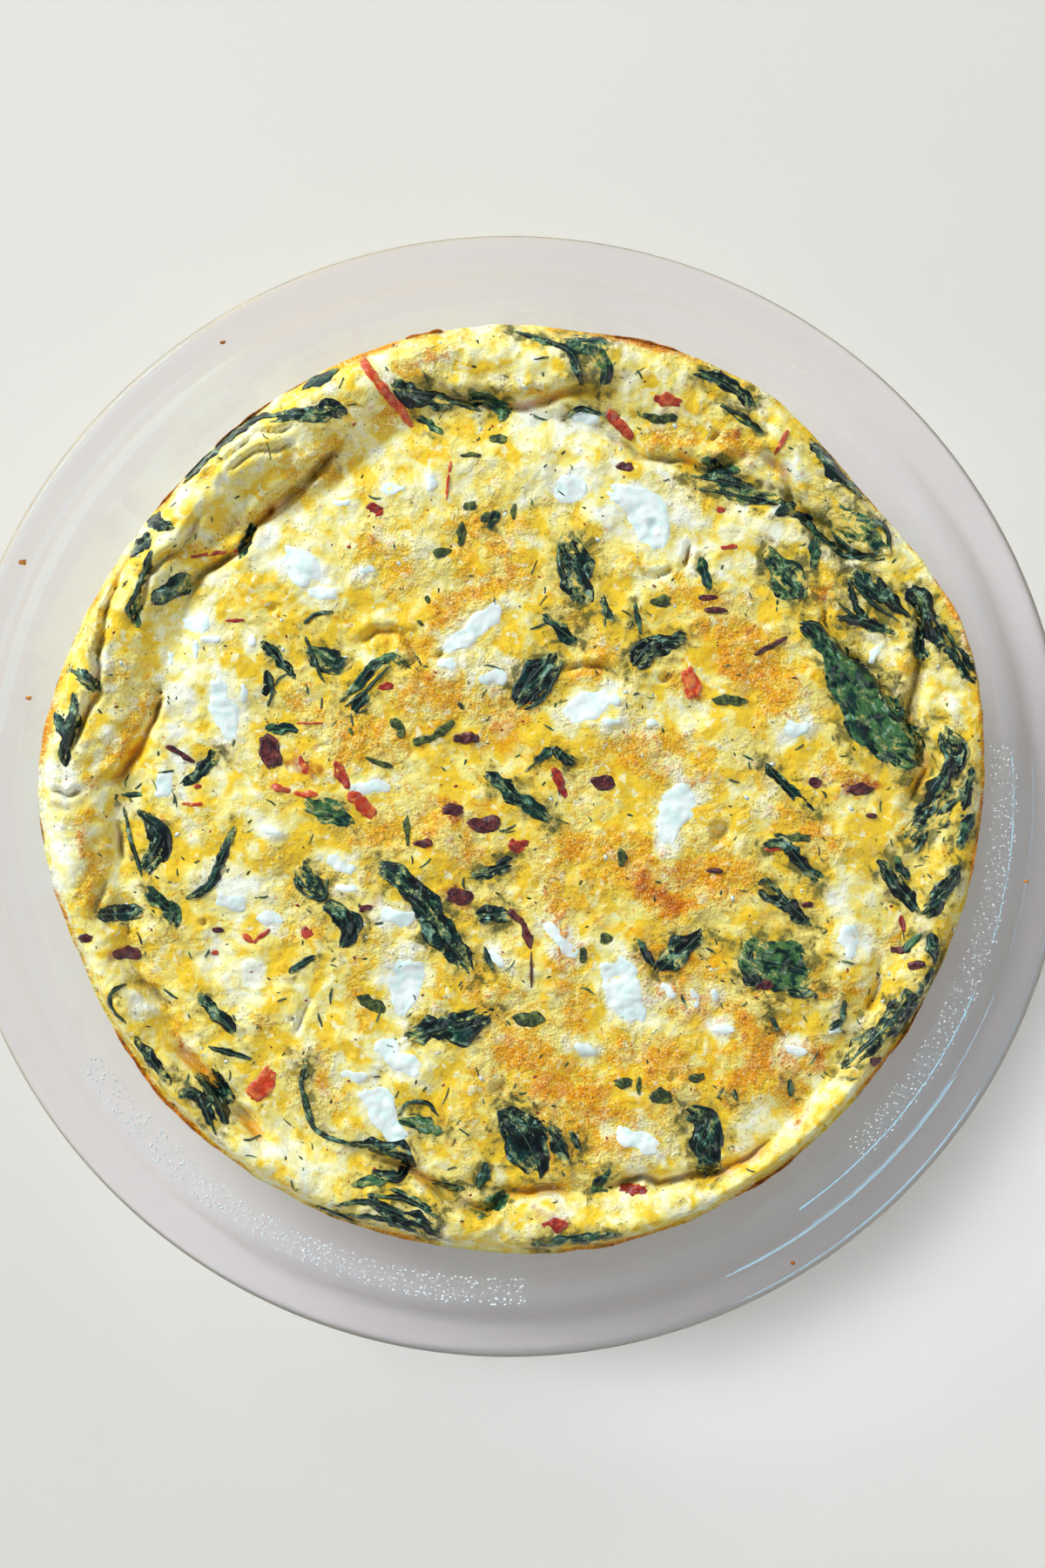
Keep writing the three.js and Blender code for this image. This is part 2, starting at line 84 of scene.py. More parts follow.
# Folds across the puffed rim: height, how many there are around the dish, and where they start
CREST_FOLDS = [(0.6, 9, 1.1), (0.5, 14, 0.4), (0.3, 23, 0)]
HOLLOW_WIDTH = 5
# Distances from the middle every 20 degrees from +X: of the edge, and of the crease inside the puffed rim
EDGE_RADII = [102.5, 104.2, 101.1, 103.2, 101.9, 101.7, 100.2, 98.9, 100.2,
              101.9, 99.6, 99.6, 99.4, 98.9, 99.8, 100, 99.8, 100.6]
CREASE_RADII = [90, 84, 90, 83, 83, 85, 79, 84, 80, 85, 88.5, 90, 88, 86, 88, 94, 92.5, 91]
LUMP_SEED = 7
# Puffed rolls and lumps: x, y, half length, half width, turn, height
SWELLS = [
    (-83.2, 16.9, 13, 5.3, 54, 1.6), (-91.7, -7.7, 8.5, 5.5, 80, 1.3), (-69.9, -63.5, 15, 4.5, -48, 0.9),
    (6.7, -92.9, 13, 4.5, 5, 1.2), (52.1, -80.6, 15, 4.5, 33, 1), (96, 21.6, 12, 4.5, 80, 1.1),
    (92.8, -18.1, 12, 4.5, 72, 1), (69.1, 69.9, 17, 4.5, -47, 1), (6.7, 94.4, 22, 4.5, 0, 1),
    (-47.2, 77.4, 20, 5.5, 34, 1.4), (-74.7, 51.9, 15, 5, 57, 0.9),
]

CORNER_Z = GLASS + INNER_CORNER
CORNER_R = WALL_TOP_RADIUS - math.tan(LEAN) * (WALL_TOP_HEIGHT - CORNER_Z) - INNER_CORNER / math.cos(LEAN)

# %% [markdown]
# ## The toppings
# Every topping is placed in the pixels of the view from above: a small one by its two ends and
# a width, a larger one by several places along its middle and the width at each.
# One function turns such a place into millimetres at the height of the filling's surface.

# %% Toppings by their place in the view from above
VIEW_MIDDLE_PX = (600, 900)
VIEW_AXIS_MM = (2.9, 2.68)
PX_PER_MM = 5.285


def plan(px, py):
    """A place in the view from above, in millimetres from the dish's axis."""
    x = VIEW_AXIS_MM[0] + (px - VIEW_MIDDLE_PX[0]) / PX_PER_MM
    return x, VIEW_AXIS_MM[1] - (py - VIEW_MIDDLE_PX[1]) / PX_PER_MM


# Small leaves: two ends and a width. The other small pieces below have the same columns.
GREEN_BITS = [
    (352, 444, 384, 425, 16), (480, 478, 506, 495, 14), (164, 593, 199, 606, 17), (151, 636, 174, 617, 18),
    (276, 640, 290, 600, 14), (177, 634, 160, 680, 10), (160, 680, 158, 722, 10), (65, 820, 78, 846, 14),
    (306, 835, 340, 837, 14), (407, 814, 422, 798, 14), (139, 912, 162, 912, 8), (238, 1202, 290, 1216, 9),
    (331, 1115, 361, 1099, 11), (551, 1050, 581, 1050, 24), (556, 1089, 566, 1114, 8),
    (625, 708, 661, 737, 16), (692, 685, 703, 713, 10), (728, 690, 736, 728, 8), (805, 640, 814, 676, 12),
    (807, 528, 847, 540, 14), (822, 462, 877, 500, 7), (893, 590, 914, 577, 14), (937, 618, 935, 651, 13),
    (1085, 745, 1120, 783, 16), (1116, 937, 1098, 973, 18), (912, 988, 945, 1006, 10),
    (871, 1015, 883, 1008, 7), (952, 1180, 968, 1172, 10), (968, 1172, 970, 1150, 10),
    (1070, 1072, 1074, 1104, 14), (1069, 1112, 1069, 1151, 14), (562, 1328, 550, 1366, 14),
    (494, 1360, 533, 1366, 10), (548, 1395, 581, 1372, 18), (404, 1360, 458, 1352, 12),
    (432, 1355, 508, 1392, 9), (363, 1388, 405, 1405, 7), (680, 1372, 700, 1343, 11),
    (615, 875, 636, 860, 14), (636, 860, 657, 876, 14), (733, 1080, 750, 1107, 12), (979, 592, 1003, 606, 14),
    (302, 738, 338, 778, 14), (308, 772, 311, 812, 16), (80, 768, 118, 792, 18), (88, 797, 76, 880, 16),
    (652, 398, 696, 400, 22), (590, 381, 652, 406, 8), (652, 406, 669, 446, 8), (270, 948, 241, 1015, 10),
    (157, 1189, 197, 1246, 12), (228, 1140, 268, 1184, 18), (352, 1216, 346, 1250, 8),
    (346, 1250, 360, 1296, 9), (345, 1000, 370, 1030, 20), (545, 1007, 593, 988, 18),
    (114, 1050, 162, 1048, 20), (465, 1190, 567, 1163, 26), (459, 1285, 506, 1300, 18),
    (606, 1428, 708, 1415, 12), (245, 1230, 262, 1268, 18), (1015, 1000, 1050, 1045, 16),
    (1060, 1045, 1095, 1000, 16), (178, 690, 216, 666, 26), (211, 547, 250, 508, 14),
    (560, 605, 572, 588, 12), (455, 440, 470, 452, 14), (905, 1138, 938, 1143, 13),
    (854, 1120, 876, 1130, 14), (886, 1168, 893, 1183, 7), (907, 1240, 911, 1260, 8),
    (842, 1250, 846, 1264, 6), (632, 1296, 652, 1336, 18), (655, 1300, 668, 1322, 9),
    (1040, 1092, 1056, 1072, 10), (1066, 952, 1052, 980, 10), (1030, 985, 1044, 1008, 12),
]
# The loose leaves: places along the middle with the width at each
LEAF_FORMS = [
    [(208, 550, 8), (235, 520, 20), (262, 497, 22), (300, 478, 10)],
    [(300, 484, 10), (345, 478, 22), (385, 474, 26), (398, 484, 10)],
    [(450, 436, 12), (470, 452, 30), (500, 460, 24), (525, 462, 10)],
    [(525, 464, 12), (550, 458, 20), (575, 470, 20), (572, 484, 8)],
    [(650, 390, 10), (680, 400, 26), (696, 425, 28), (690, 448, 10)],
    [(800, 428, 10), (822, 436, 22), (850, 455, 20), (868, 478, 8)],
    [(790, 545, 12), (815, 542, 34), (845, 560, 30), (880, 572, 24), (900, 575, 8)],
    [(928, 508, 10), (945, 525, 22), (970, 552, 22), (990, 572, 10)],
    [(893, 572, 8), (915, 590, 12), (940, 612, 12), (950, 625, 6)],
    [(950, 595, 14), (975, 605, 34), (1000, 618, 34), (1018, 630, 14)],
    [(880, 628, 12), (895, 650, 40), (915, 672, 44), (928, 688, 14)],
    [(975, 655, 14), (995, 672, 26), (1020, 690, 26), (1035, 700, 10)],
    [(955, 718, 8), (985, 712, 20), (1012, 722, 16), (1030, 730, 8)],
    [(1040, 672, 12), (1058, 690, 30), (1066, 715, 30), (1085, 745, 14)], [(920, 712, 12), (940, 732, 26),
     (960, 757, 40), (985, 793, 66), (1008, 833, 84), (1038, 864, 58), (1060, 878, 26)],
    [(1082, 832, 14), (1088, 855, 28), (1092, 878, 24), (1087, 896, 12)],
    [(1101, 893, 14), (1086, 918, 34), (1062, 944, 32), (1044, 968, 12)],
    [(1008, 985, 8), (1022, 1005, 20), (1040, 1028, 20), (1056, 1048, 10)],
    [(1100, 990, 10), (1090, 1012, 24), (1075, 1035, 24), (1058, 1052, 10)],
    [(1073, 1112, 10), (1058, 1135, 28), (1030, 1165, 34), (995, 1200, 28), (965, 1228, 10)],
    [(852, 1085, 36), (872, 1100, 62), (905, 1108, 72), (932, 1118, 44)],
    [(868, 1020, 8), (890, 1035, 16), (915, 1048, 20), (936, 1066, 10)],
    [(878, 876, 8), (895, 895, 14), (918, 918, 14), (938, 934, 6)],
    [(728, 768, 14), (740, 748, 30), (765, 738, 30), (792, 733, 16)],
    [(655, 612, 20), (660, 640, 44), (668, 670, 44), (676, 698, 18)],
    [(592, 812, 16), (605, 790, 44), (625, 772, 48), (640, 748, 16)],
    [(350, 745, 14), (370, 755, 40), (388, 765, 40), (402, 758, 12)],
    [(386, 810, 8), (412, 785, 14), (445, 754, 14), (472, 768, 8)],
    [(203, 906, 8), (232, 884, 22), (250, 862, 22)],
    [(148, 915, 10), (165, 935, 24), (182, 962, 28), (172, 990, 26), (165, 1005, 10)],
    [(168, 1020, 12), (182, 1035, 30), (200, 1050, 26), (200, 1065, 10)],
    [(157, 1189, 6), (172, 1208, 14), (185, 1226, 14), (198, 1248, 6)],
    [(205, 1258, 8), (225, 1255, 18), (240, 1275, 20), (250, 1303, 8)],
    [(400, 1314, 8), (435, 1316, 16), (462, 1322, 22), (478, 1347, 10)],
    [(420, 1372, 10), (455, 1395, 26), (490, 1405, 24), (505, 1418, 8)],
    [(578, 1270, 18), (595, 1295, 56), (612, 1325, 60), (618, 1352, 20)],
    [(465, 1192, 10), (495, 1182, 26), (530, 1182, 34), (567, 1163, 10)],
    [(785, 1280, 14), (808, 1290, 40), (816, 1320, 46), (806, 1352, 18)],
    [(430, 990, 12), (460, 1010, 36), (490, 1040, 44), (515, 1080, 40), (533, 1105, 28), (543, 1123, 8)],
    [(555, 885, 10), (580, 905, 26), (610, 925, 24), (632, 945, 8)],
    [(348, 920, 16), (370, 930, 34), (392, 940, 30), (405, 948, 10)],
    [(345, 990, 14), (355, 1010, 34), (368, 1032, 14)],
    [(368, 1040, 12), (392, 1048, 32), (400, 1065, 32), (390, 1090, 12)],
]
CHEESE_FORMS = [
    [(692, 562, 20), (714, 568, 30), (742, 588, 48), (752, 615, 50), (750, 636, 26)],
    [(636, 552, 24), (654, 560, 38), (672, 550, 24)], [(322, 632, 26), (345, 650, 46), (364, 670, 24)],
    [(505, 752, 10), (530, 735, 28), (555, 710, 32), (578, 690, 12)],
    [(648, 826, 20), (675, 810, 38), (704, 796, 24)],
    [(248, 775, 12), (255, 805, 28), (262, 835, 26), (268, 855, 12)],
    [(765, 974, 16), (774, 940, 40), (785, 915, 38), (797, 902, 14)],
    [(700, 1098, 28), (715, 1130, 54), (726, 1162, 38), (728, 1180, 16)],
    [(475, 1098, 28), (468, 1125, 54), (462, 1150, 34), (458, 1172, 10)],
    [(418, 1245, 16), (435, 1270, 40), (452, 1295, 36), (470, 1315, 14)],
]
TOMATO_FORMS = [
    [(413, 410, 9), (432, 436, 15), (456, 466, 13), (478, 495, 7)],
    [(694, 470, 9), (708, 482, 15), (728, 505, 9)], [(300, 842, 20), (311, 862, 32), (316, 884, 16)],
    [(788, 766, 18), (795, 785, 30), (798, 804, 16)], [(284, 1262, 18), (298, 1248, 34), (312, 1226, 20)],
]
# Folded leaf edges and stems: a width and a line of places
LEAF_STROKES = [
    (6, [(352, 1216), (346, 1250), (360, 1296), (400, 1314), (458, 1318)]),
    (6, [(147, 1128), (133, 1137), (129, 1153), (148, 1174)]),
    (10, [(270, 948), (254, 985), (241, 1015), (210, 1034)]), (8, [(590, 381), (652, 406), (669, 446)]),
    (10, [(785, 1285), (812, 1288), (800, 1320), (822, 1340), (805, 1356)]),
    (8, [(384, 1383), (430, 1380), (504, 1412)]), (7, [(395, 1395), (440, 1398), (490, 1420)]),
    (7, [(420, 1370), (470, 1378), (508, 1400)]), (7, [(140, 925), (150, 965), (163, 1007)]),
    (14, [(156, 930), (184, 955), (168, 992)]), (6, [(87, 797), (88, 822), (73, 860), (76, 879)]),
    (8, [(952, 605), (985, 636), (1021, 636)]), (7, [(822, 462), (850, 478), (877, 500)]),
    (9, [(725, 765), (752, 738), (790, 735)]), (7, [(388, 808), (445, 753), (472, 768)]),
    (5, [(394, 812), (422, 790), (450, 762)]), (10, [(1012, 985), (1035, 1020), (1058, 1050)]),
    (10, [(1058, 1050), (1085, 1025), (1103, 992)]), (9, [(1073, 1114), (1035, 1160), (965, 1228)]),
    (7, [(916, 715), (940, 718), (959, 742), (989, 762), (1004, 773)]),
    (7, [(1004, 773), (1024, 818), (1053, 840), (1067, 871)]), (8, [(575, 1275), (600, 1290), (640, 1300)]),
    (5, [(345, 994), (340, 1015), (356, 1030), (372, 1030), (376, 1005)]),
    (6, [(348, 716), (362, 705), (386, 703)]), (6, [(456, 1282), (470, 1266), (492, 1268), (505, 1284)]),
    (8, [(880, 1010), (905, 1035), (934, 1065)]), (7, [(228, 1140), (245, 1165), (268, 1184)]),
    (8, [(205, 1258), (226, 1252), (250, 1303)]), (8, [(1076, 840), (1085, 870), (1095, 895)]),
    (8, [(1085, 745), (1110, 765), (1120, 783)]), (9, [(1116, 937), (1105, 960), (1098, 973)]),
    (9, [(1112, 905), (1090, 925), (1045, 965)]), (8, [(1048, 680), (1062, 712), (1080, 750)]),
    (7, [(793, 430), (825, 440), (856, 462)]), (8, [(930, 515), (955, 540), (984, 568)]),
    (7, [(80, 768), (98, 778), (118, 792)]), (6, [(177, 634), (160, 680), (150, 700), (158, 722)]),
    (7, [(164, 593), (182, 600), (199, 606)]),
    (8, [(208, 545), (230, 520), (262, 496), (300, 480), (345, 478), (390, 482)]),
    (7, [(455, 450), (500, 452), (545, 468), (575, 470)]),
    (8, [(432, 1000), (470, 1030), (510, 1075), (540, 1120)]), (7, [(566, 890), (600, 920), (636, 940)]),
    (7, [(640, 620), (645, 655), (662, 695)]), (7, [(592, 812), (608, 780), (640, 748)]),
    (6, [(600, 815), (625, 800), (645, 760)]), (8, [(865, 1085), (862, 1110), (880, 1138)]),
    (7, [(468, 1192), (510, 1180), (565, 1165)]), (7, [(650, 480), (668, 470), (700, 478)]),
    (6, [(792, 545), (830, 552), (888, 566)]), (6, [(800, 560), (845, 568), (880, 578)]),
    (6, [(978, 665), (1000, 690), (1035, 715)]), (7, [(960, 690), (990, 712), (1030, 728)]),
    (6, [(885, 640), (905, 664), (925, 690)]), (30, [(756, 1116), (780, 1094), (812, 1066)]),
    (14, [(872, 972), (898, 968), (920, 990), (940, 1015)]),
    (12, [(420, 1320), (462, 1330), (458, 1350), (424, 1346)]), (14, [(225, 1230), (250, 1262), (262, 1292)]),
    (12, [(1041, 679), (1058, 703), (1056, 744), (1066, 757)]), (9, [(1082, 716), (1107, 765), (1119, 781)]),
    (10, [(976, 662), (984, 695), (1000, 716)]), (12, [(959, 708), (1000, 716), (1021, 724)]),
    (12, [(1005, 662), (1025, 691), (1045, 708)]),
    (9, [(894, 585), (926, 593), (943, 613), (976, 638), (1017, 642)]),
    (8, [(976, 597), (1013, 605), (1021, 642)]),
    (20, [(1084, 839), (1103, 863), (1086, 888), (1066, 929), (1043, 962)]),
    (14, [(1114, 880), (1107, 917), (1101, 941)]), (6, [(310, 772), (312, 795), (306, 812)]),
    (6, [(352, 756), (376, 770), (398, 760)]), (6, [(350, 730), (362, 760), (372, 784)]),
]
OLIVE_BITS = [
    (448, 816, 462, 845, 18), (474, 854, 500, 845, 14), (500, 845, 520, 828, 14), (705, 1243, 724, 1243, 16),
    (734, 1236, 734, 1256, 8), (751, 1260, 768, 1258, 26), (793, 1237, 808, 1237, 16),
    (714, 977, 714, 994, 14), (690, 1079, 703, 1079, 16), (669, 1088, 669, 1105, 12),
    (585, 1170, 623, 1170, 20), (468, 938, 468, 971, 12), (533, 580, 545, 580, 16), (530, 600, 530, 626, 14),
    (552, 595, 572, 595, 13), (590, 578, 590, 596, 10), (500, 636, 516, 632, 16), (562, 503, 581, 503, 14),
    (529, 522, 552, 522, 9), (479, 712, 486, 718, 8), (489, 684, 492, 692, 8), (401, 836, 405, 843, 8),
    (526, 807, 532, 813, 8), (818, 803, 860, 806, 14), (890, 960, 940, 965, 16), (748, 690, 780, 690, 14),
    (738, 478, 776, 480, 16), (412, 1145, 440, 1160, 18), (420, 870, 450, 880, 10),
]
CURDS = [
    (355, 682, 386, 680, 24), (187, 890, 188, 912, 30), (904, 836, 926, 836, 30), (975, 1062, 975, 1100, 26),
    (438, 1052, 476, 1052, 27), (296, 1053, 323, 1053, 25), (252, 1030, 279, 1042, 30),
    (432, 1200, 481, 1230, 34), (394, 1236, 420, 1236, 26), (709, 1300, 753, 1320, 36),
    (401, 903, 449, 903, 20), (627, 1060, 661, 1100, 26), (208, 715, 239, 715, 28), (231, 733, 252, 733, 14),
    (224, 734, 224, 757, 12), (280, 786, 280, 806, 13), (195, 748, 195, 763, 11), (289, 728, 289, 742, 12),
    (413, 653, 430, 653, 14), (438, 560, 463, 560, 20), (495, 544, 495, 563, 15), (382, 576, 401, 576, 14),
    (503, 762, 524, 762, 18), (692, 829, 713, 829, 14), (742, 830, 757, 830, 12), (386, 1020, 409, 1020, 14),
    (376, 985, 405, 1000, 22), (659, 478, 686, 478, 26), (550, 778, 580, 778, 28), (700, 800, 712, 806, 16),
    (1000, 760, 1014, 740, 14), (660, 1200, 684, 1210, 16), (820, 1180, 842, 1184, 16),
    (300, 950, 322, 956, 16), (560, 1090, 580, 1110, 14), (760, 1130, 775, 1145, 14),
    (794, 1136, 800, 1156, 14), (820, 1136, 822, 1150, 11), (905, 1204, 925, 1207, 20),
    (952, 1186, 966, 1181, 14),
]
TOMATO_BITS = [
    (311, 903, 334, 908, 11), (338, 911, 367, 911, 10), (636, 880, 650, 916, 13), (904, 495, 888, 524, 8),
    (422, 586, 437, 586, 22), (205, 923, 233, 923, 8), (222, 903, 231, 903, 6), (588, 970, 603, 970, 26),
    (279, 1073, 290, 1083, 8), (290, 1083, 310, 1067, 8), (243, 1095, 249, 1095, 9), (518, 527, 512, 576, 5),
    (625, 1405, 652, 1405, 18), (258, 712, 281, 712, 7), (828, 628, 847, 628, 9), (824, 585, 832, 585, 9),
    (348, 1070, 357, 1070, 18), (879, 975, 897, 975, 9), (434, 788, 451, 788, 12),
    (1036, 1052, 1040, 1072, 9), (385, 875, 400, 905, 16), (400, 912, 430, 936, 22), (344, 868, 352, 890, 12),
    (713, 1366, 742, 1366, 16), (216, 640, 277, 630, 7), (338, 830, 373, 830, 4), (752, 458, 780, 464, 20),
]
DARK_BITS = [
    (541, 946, 572, 946, 26), (510, 930, 530, 930, 17), (476, 968, 495, 968, 13), (522, 848, 549, 848, 16),
    (585, 1045, 600, 1059, 12), (600, 1059, 610, 1089, 12), (610, 1089, 610, 1137, 4),
    (189, 856, 224, 875, 9), (132, 1096, 159, 1096, 20), (243, 1068, 256, 1068, 8),
    (516, 1030, 541, 1030, 24), (866, 752, 906, 730, 8), (812, 1000, 830, 1000, 8), (709, 535, 726, 535, 14),
    (803, 686, 824, 686, 11), (809, 701, 835, 701, 10), (413, 1042, 426, 1042, 14), (93, 1076, 107, 1076, 12),
    (682, 898, 703, 898, 21), (975, 906, 1002, 906, 17), (930, 898, 942, 898, 15),
    (1026, 1091, 1039, 1091, 13), (1043, 1110, 1060, 1106, 12), (999, 1217, 1011, 1217, 13),
    # The last piece below is painted shadow: a dark patch laid at the square leaf's lower edge, where the
    # leaf casts a shadow.
    (995, 936, 1007, 938, 8), (922, 1039, 934, 1039, 9), (868, 1134, 888, 1130, 12),
]
print(len(LEAF_FORMS), "leaves,", len(CHEESE_FORMS), "lumps of cheese,", len(TOMATO_FORMS), "tomatoes")
print(sum(map(len, (GREEN_BITS, OLIVE_BITS, CURDS, TOMATO_BITS, DARK_BITS))), "small pieces of five kinds")

# %% [markdown]
# Creases are folds that the egg made as it puffed up and sank again. Holes are bubbles that burst.
# Browned and pale places have soft edges.

# %% Creases, holes and browning by their place in the view from above
# Depth and width in mm, and a line of places
CREASES = [
    (1.7, 1.0, [(183, 613), (151, 624), (134, 662), (122, 712), (114, 757), (112, 794), (89, 843),
     (73, 884)]), (1.4, 0.9, [(233, 585), (212, 626), (171, 658), (163, 683), (151, 724)]),
    (1.8, 1.1, [(183, 790), (175, 826), (159, 855), (138, 888), (118, 900)]),
    (1.2, 0.8, [(114, 757), (104, 740), (100, 715)]), (1.2, 0.8, [(60, 905), (78, 915), (96, 905)]),
    (1.2, 1.0, [(132, 938), (136, 992)]), (1.2, 1.0, [(122, 1009), (105, 1049)]),
    (0.9, 0.9, [(143, 1059), (144, 1072)]), (1.5, 1.2, [(155, 1124), (174, 1137), (185, 1150), (203, 1164)]),
    (2.2, 1.3, [(198, 1189), (207, 1210), (242, 1240), (272, 1275), (312, 1321)]),
    (1.2, 1.0, [(326, 1206), (347, 1225)]),
    (1.9, 1.4, [(403, 1321), (474, 1347), (506, 1372), (556, 1395), (581, 1372), (640, 1368), (680, 1371)]),
    (1.8, 1.3, [(680, 1371), (741, 1353), (759, 1361), (791, 1353), (822, 1351), (868, 1328), (900, 1301)]),
    (1.1, 1.4, [(1012, 1084), (1010, 1135), (997, 1171)]),
    (2.0, 1.4, [(1055, 728), (1057, 762), (1046, 824), (1067, 881), (1046, 926)]), (1.7, 1.2, [(858, 523),
     (877, 523), (900, 540), (908, 571), (919, 584), (952, 605), (965, 624), (985, 636), (1007, 645)]),
    (1.3, 1.0, [(928, 671), (947, 677), (948, 713), (963, 738), (989, 760), (1004, 771), (1046, 836)]),
    (1.7, 1.3, [(480, 445), (524, 455), (604, 464), (648, 450), (669, 447), (703, 445)]),
    (1.7, 1.3, [(686, 492), (723, 512), (734, 523), (782, 525), (811, 538), (858, 523)]),
    (2.0, 1.2, [(400, 500), (340, 560), (309, 583), (290, 606), (274, 630), (233, 654), (204, 687)]),
    (1.2, 0.8, [(262, 540), (300, 520), (340, 512)]),
    (1.1, 0.8, [(230, 560), (256, 530), (300, 498), (345, 490)]),
    (1.4, 0.9, [(1041, 679), (1058, 703), (1056, 744), (1066, 757)]),
    (1.3, 0.8, [(1082, 716), (1107, 765), (1119, 781)]),
    (1.3, 0.8, [(894, 585), (926, 593), (943, 613), (976, 638), (1017, 642)]),
    (1.2, 0.8, [(800, 440), (850, 478), (880, 502)]),
    (1.2, 1.0, [(644, 770), (668, 762), (700, 768), (719, 786)]),
    (1.3, 1.0, [(407, 742), (430, 722), (462, 728), (478, 758), (452, 768)]),
    (1.3, 0.8, [(784, 653), (795, 626)]), (1.0, 0.8, [(736, 652), (752, 662), (772, 656)]),
    (0.9, 0.9, [(340, 1190), (352, 1150), (330, 1120)]),
]
# Depth and radius in mm, and a place
HOLES = [
    (1.6, 0.9, 387, 535), (1.4, 0.8, 360, 547), (1.6, 0.9, 309, 583), (1.2, 0.7, 181, 793),
    (1.2, 0.9, 235, 1060), (1.6, 0.7, 334, 1170), (1.4, 0.7, 1036, 776), (1.2, 0.6, 981, 738),
    (1.2, 1.0, 763, 779), (1.4, 1.0, 504, 750), (2.0, 1.9, 828, 955), (1.6, 1.2, 988, 1167),
    (0.9, 1.2, 312, 699), (0.8, 0.8, 372, 856), (0.9, 1.0, 282, 1188), (1.0, 1.7, 574, 1250),
    (1.0, 1.5, 621, 1276), (0.9, 1.3, 776, 1237), (0.8, 1.2, 748, 604), (1.4, 1.2, 820, 500),
]
# Browned and pale places: strength, two ends and a width
BROWNED = [
    # The first three patches lie on the inner side of the upper left roll. They are browning and also painted
    # shade on the slope that faces away from the light.
    (0.8, 392, 512, 345, 548, 34), (0.95, 375, 528, 345, 552, 24), (0.8, 345, 548, 265, 606, 20),
    (0.85, 200, 642, 250, 630, 14), (0.8, 105, 690, 140, 622, 12), (0.7, 113, 728, 118, 738, 16),
    (0.7, 135, 768, 138, 776, 20), (0.85, 178, 800, 140, 862, 26), (0.8, 128, 856, 106, 892, 22),
    (1.1, 102, 945, 106, 1040, 26), (1.1, 106, 994, 110, 1004, 16), (0.6, 128, 1060, 160, 1078, 14),
    (0.8, 172, 1130, 205, 1186, 14), (1.15, 202, 1190, 228, 1230, 14), (0.9, 466, 424, 512, 408, 30),
    (0.9, 402, 458, 460, 482, 14), (0.7, 616, 450, 630, 450, 26), (0.8, 755, 496, 870, 524, 26),
    (1.0, 826, 500, 842, 508, 16), (0.65, 480, 732, 592, 650, 44), (0.65, 480, 788, 592, 812, 54),
    (0.6, 396, 842, 440, 858, 42), (0.55, 420, 962, 452, 956, 34), (0.6, 500, 930, 545, 980, 44),
    (0.6, 650, 968, 700, 974, 40), (0.8, 835, 735, 900, 800, 70), (1.1, 836, 768, 880, 772, 26),
    (0.8, 780, 786, 794, 796, 34), (0.8, 646, 780, 690, 774, 10), (0.65, 690, 985, 850, 1010, 60),
    (1.75, 738, 1016, 780, 1038, 26), (0.65, 640, 1005, 660, 1200, 40), (0.8, 762, 1110, 842, 1190, 90),
    (1.15, 604, 1244, 692, 1256, 36), (0.9, 650, 1318, 695, 1282, 44), (0.75, 600, 1215, 720, 1300, 90),
    (0.75, 705, 1200, 800, 1235, 60), (1.1, 840, 1150, 862, 1172, 22), (1.1, 892, 1176, 842, 1268, 32),
    (0.85, 880, 1190, 916, 1276, 44), (1.1, 944, 1205, 940, 1226, 24), (0.9, 936, 1200, 906, 1276, 20),
    (0.9, 938, 1130, 975, 1138, 26), (0.75, 928, 950, 958, 968, 34), (0.75, 955, 884, 1000, 906, 30),
    (0.65, 1052, 872, 1060, 922, 14), (0.9, 1046, 1052, 1010, 1092, 18), (0.65, 300, 1132, 290, 1078, 16),
    (0.65, 296, 1166, 304, 1180, 20), (0.8, 362, 1212, 370, 1256, 30), (0.65, 575, 828, 590, 862, 44),
    (0.65, 336, 800, 346, 808, 24), (0.65, 596, 1352, 640, 1372, 12), (1.0, 912, 684, 948, 684, 20),
    (0.6, 540, 600, 580, 620, 60), (0.6, 430, 620, 470, 660, 50), (0.55, 720, 850, 800, 880, 60),
    (0.5, 560, 1120, 600, 1160, 60), (0.55, 340, 1080, 360, 1070, 30), (0.6, 400, 1130, 420, 1180, 24),
    (0.7, 780, 680, 850, 700, 30), (0.5, 220, 560, 240, 545, 20), (0.5, 880, 900, 900, 950, 50),
    (0.6, 820, 1250, 850, 1215, 40),
]
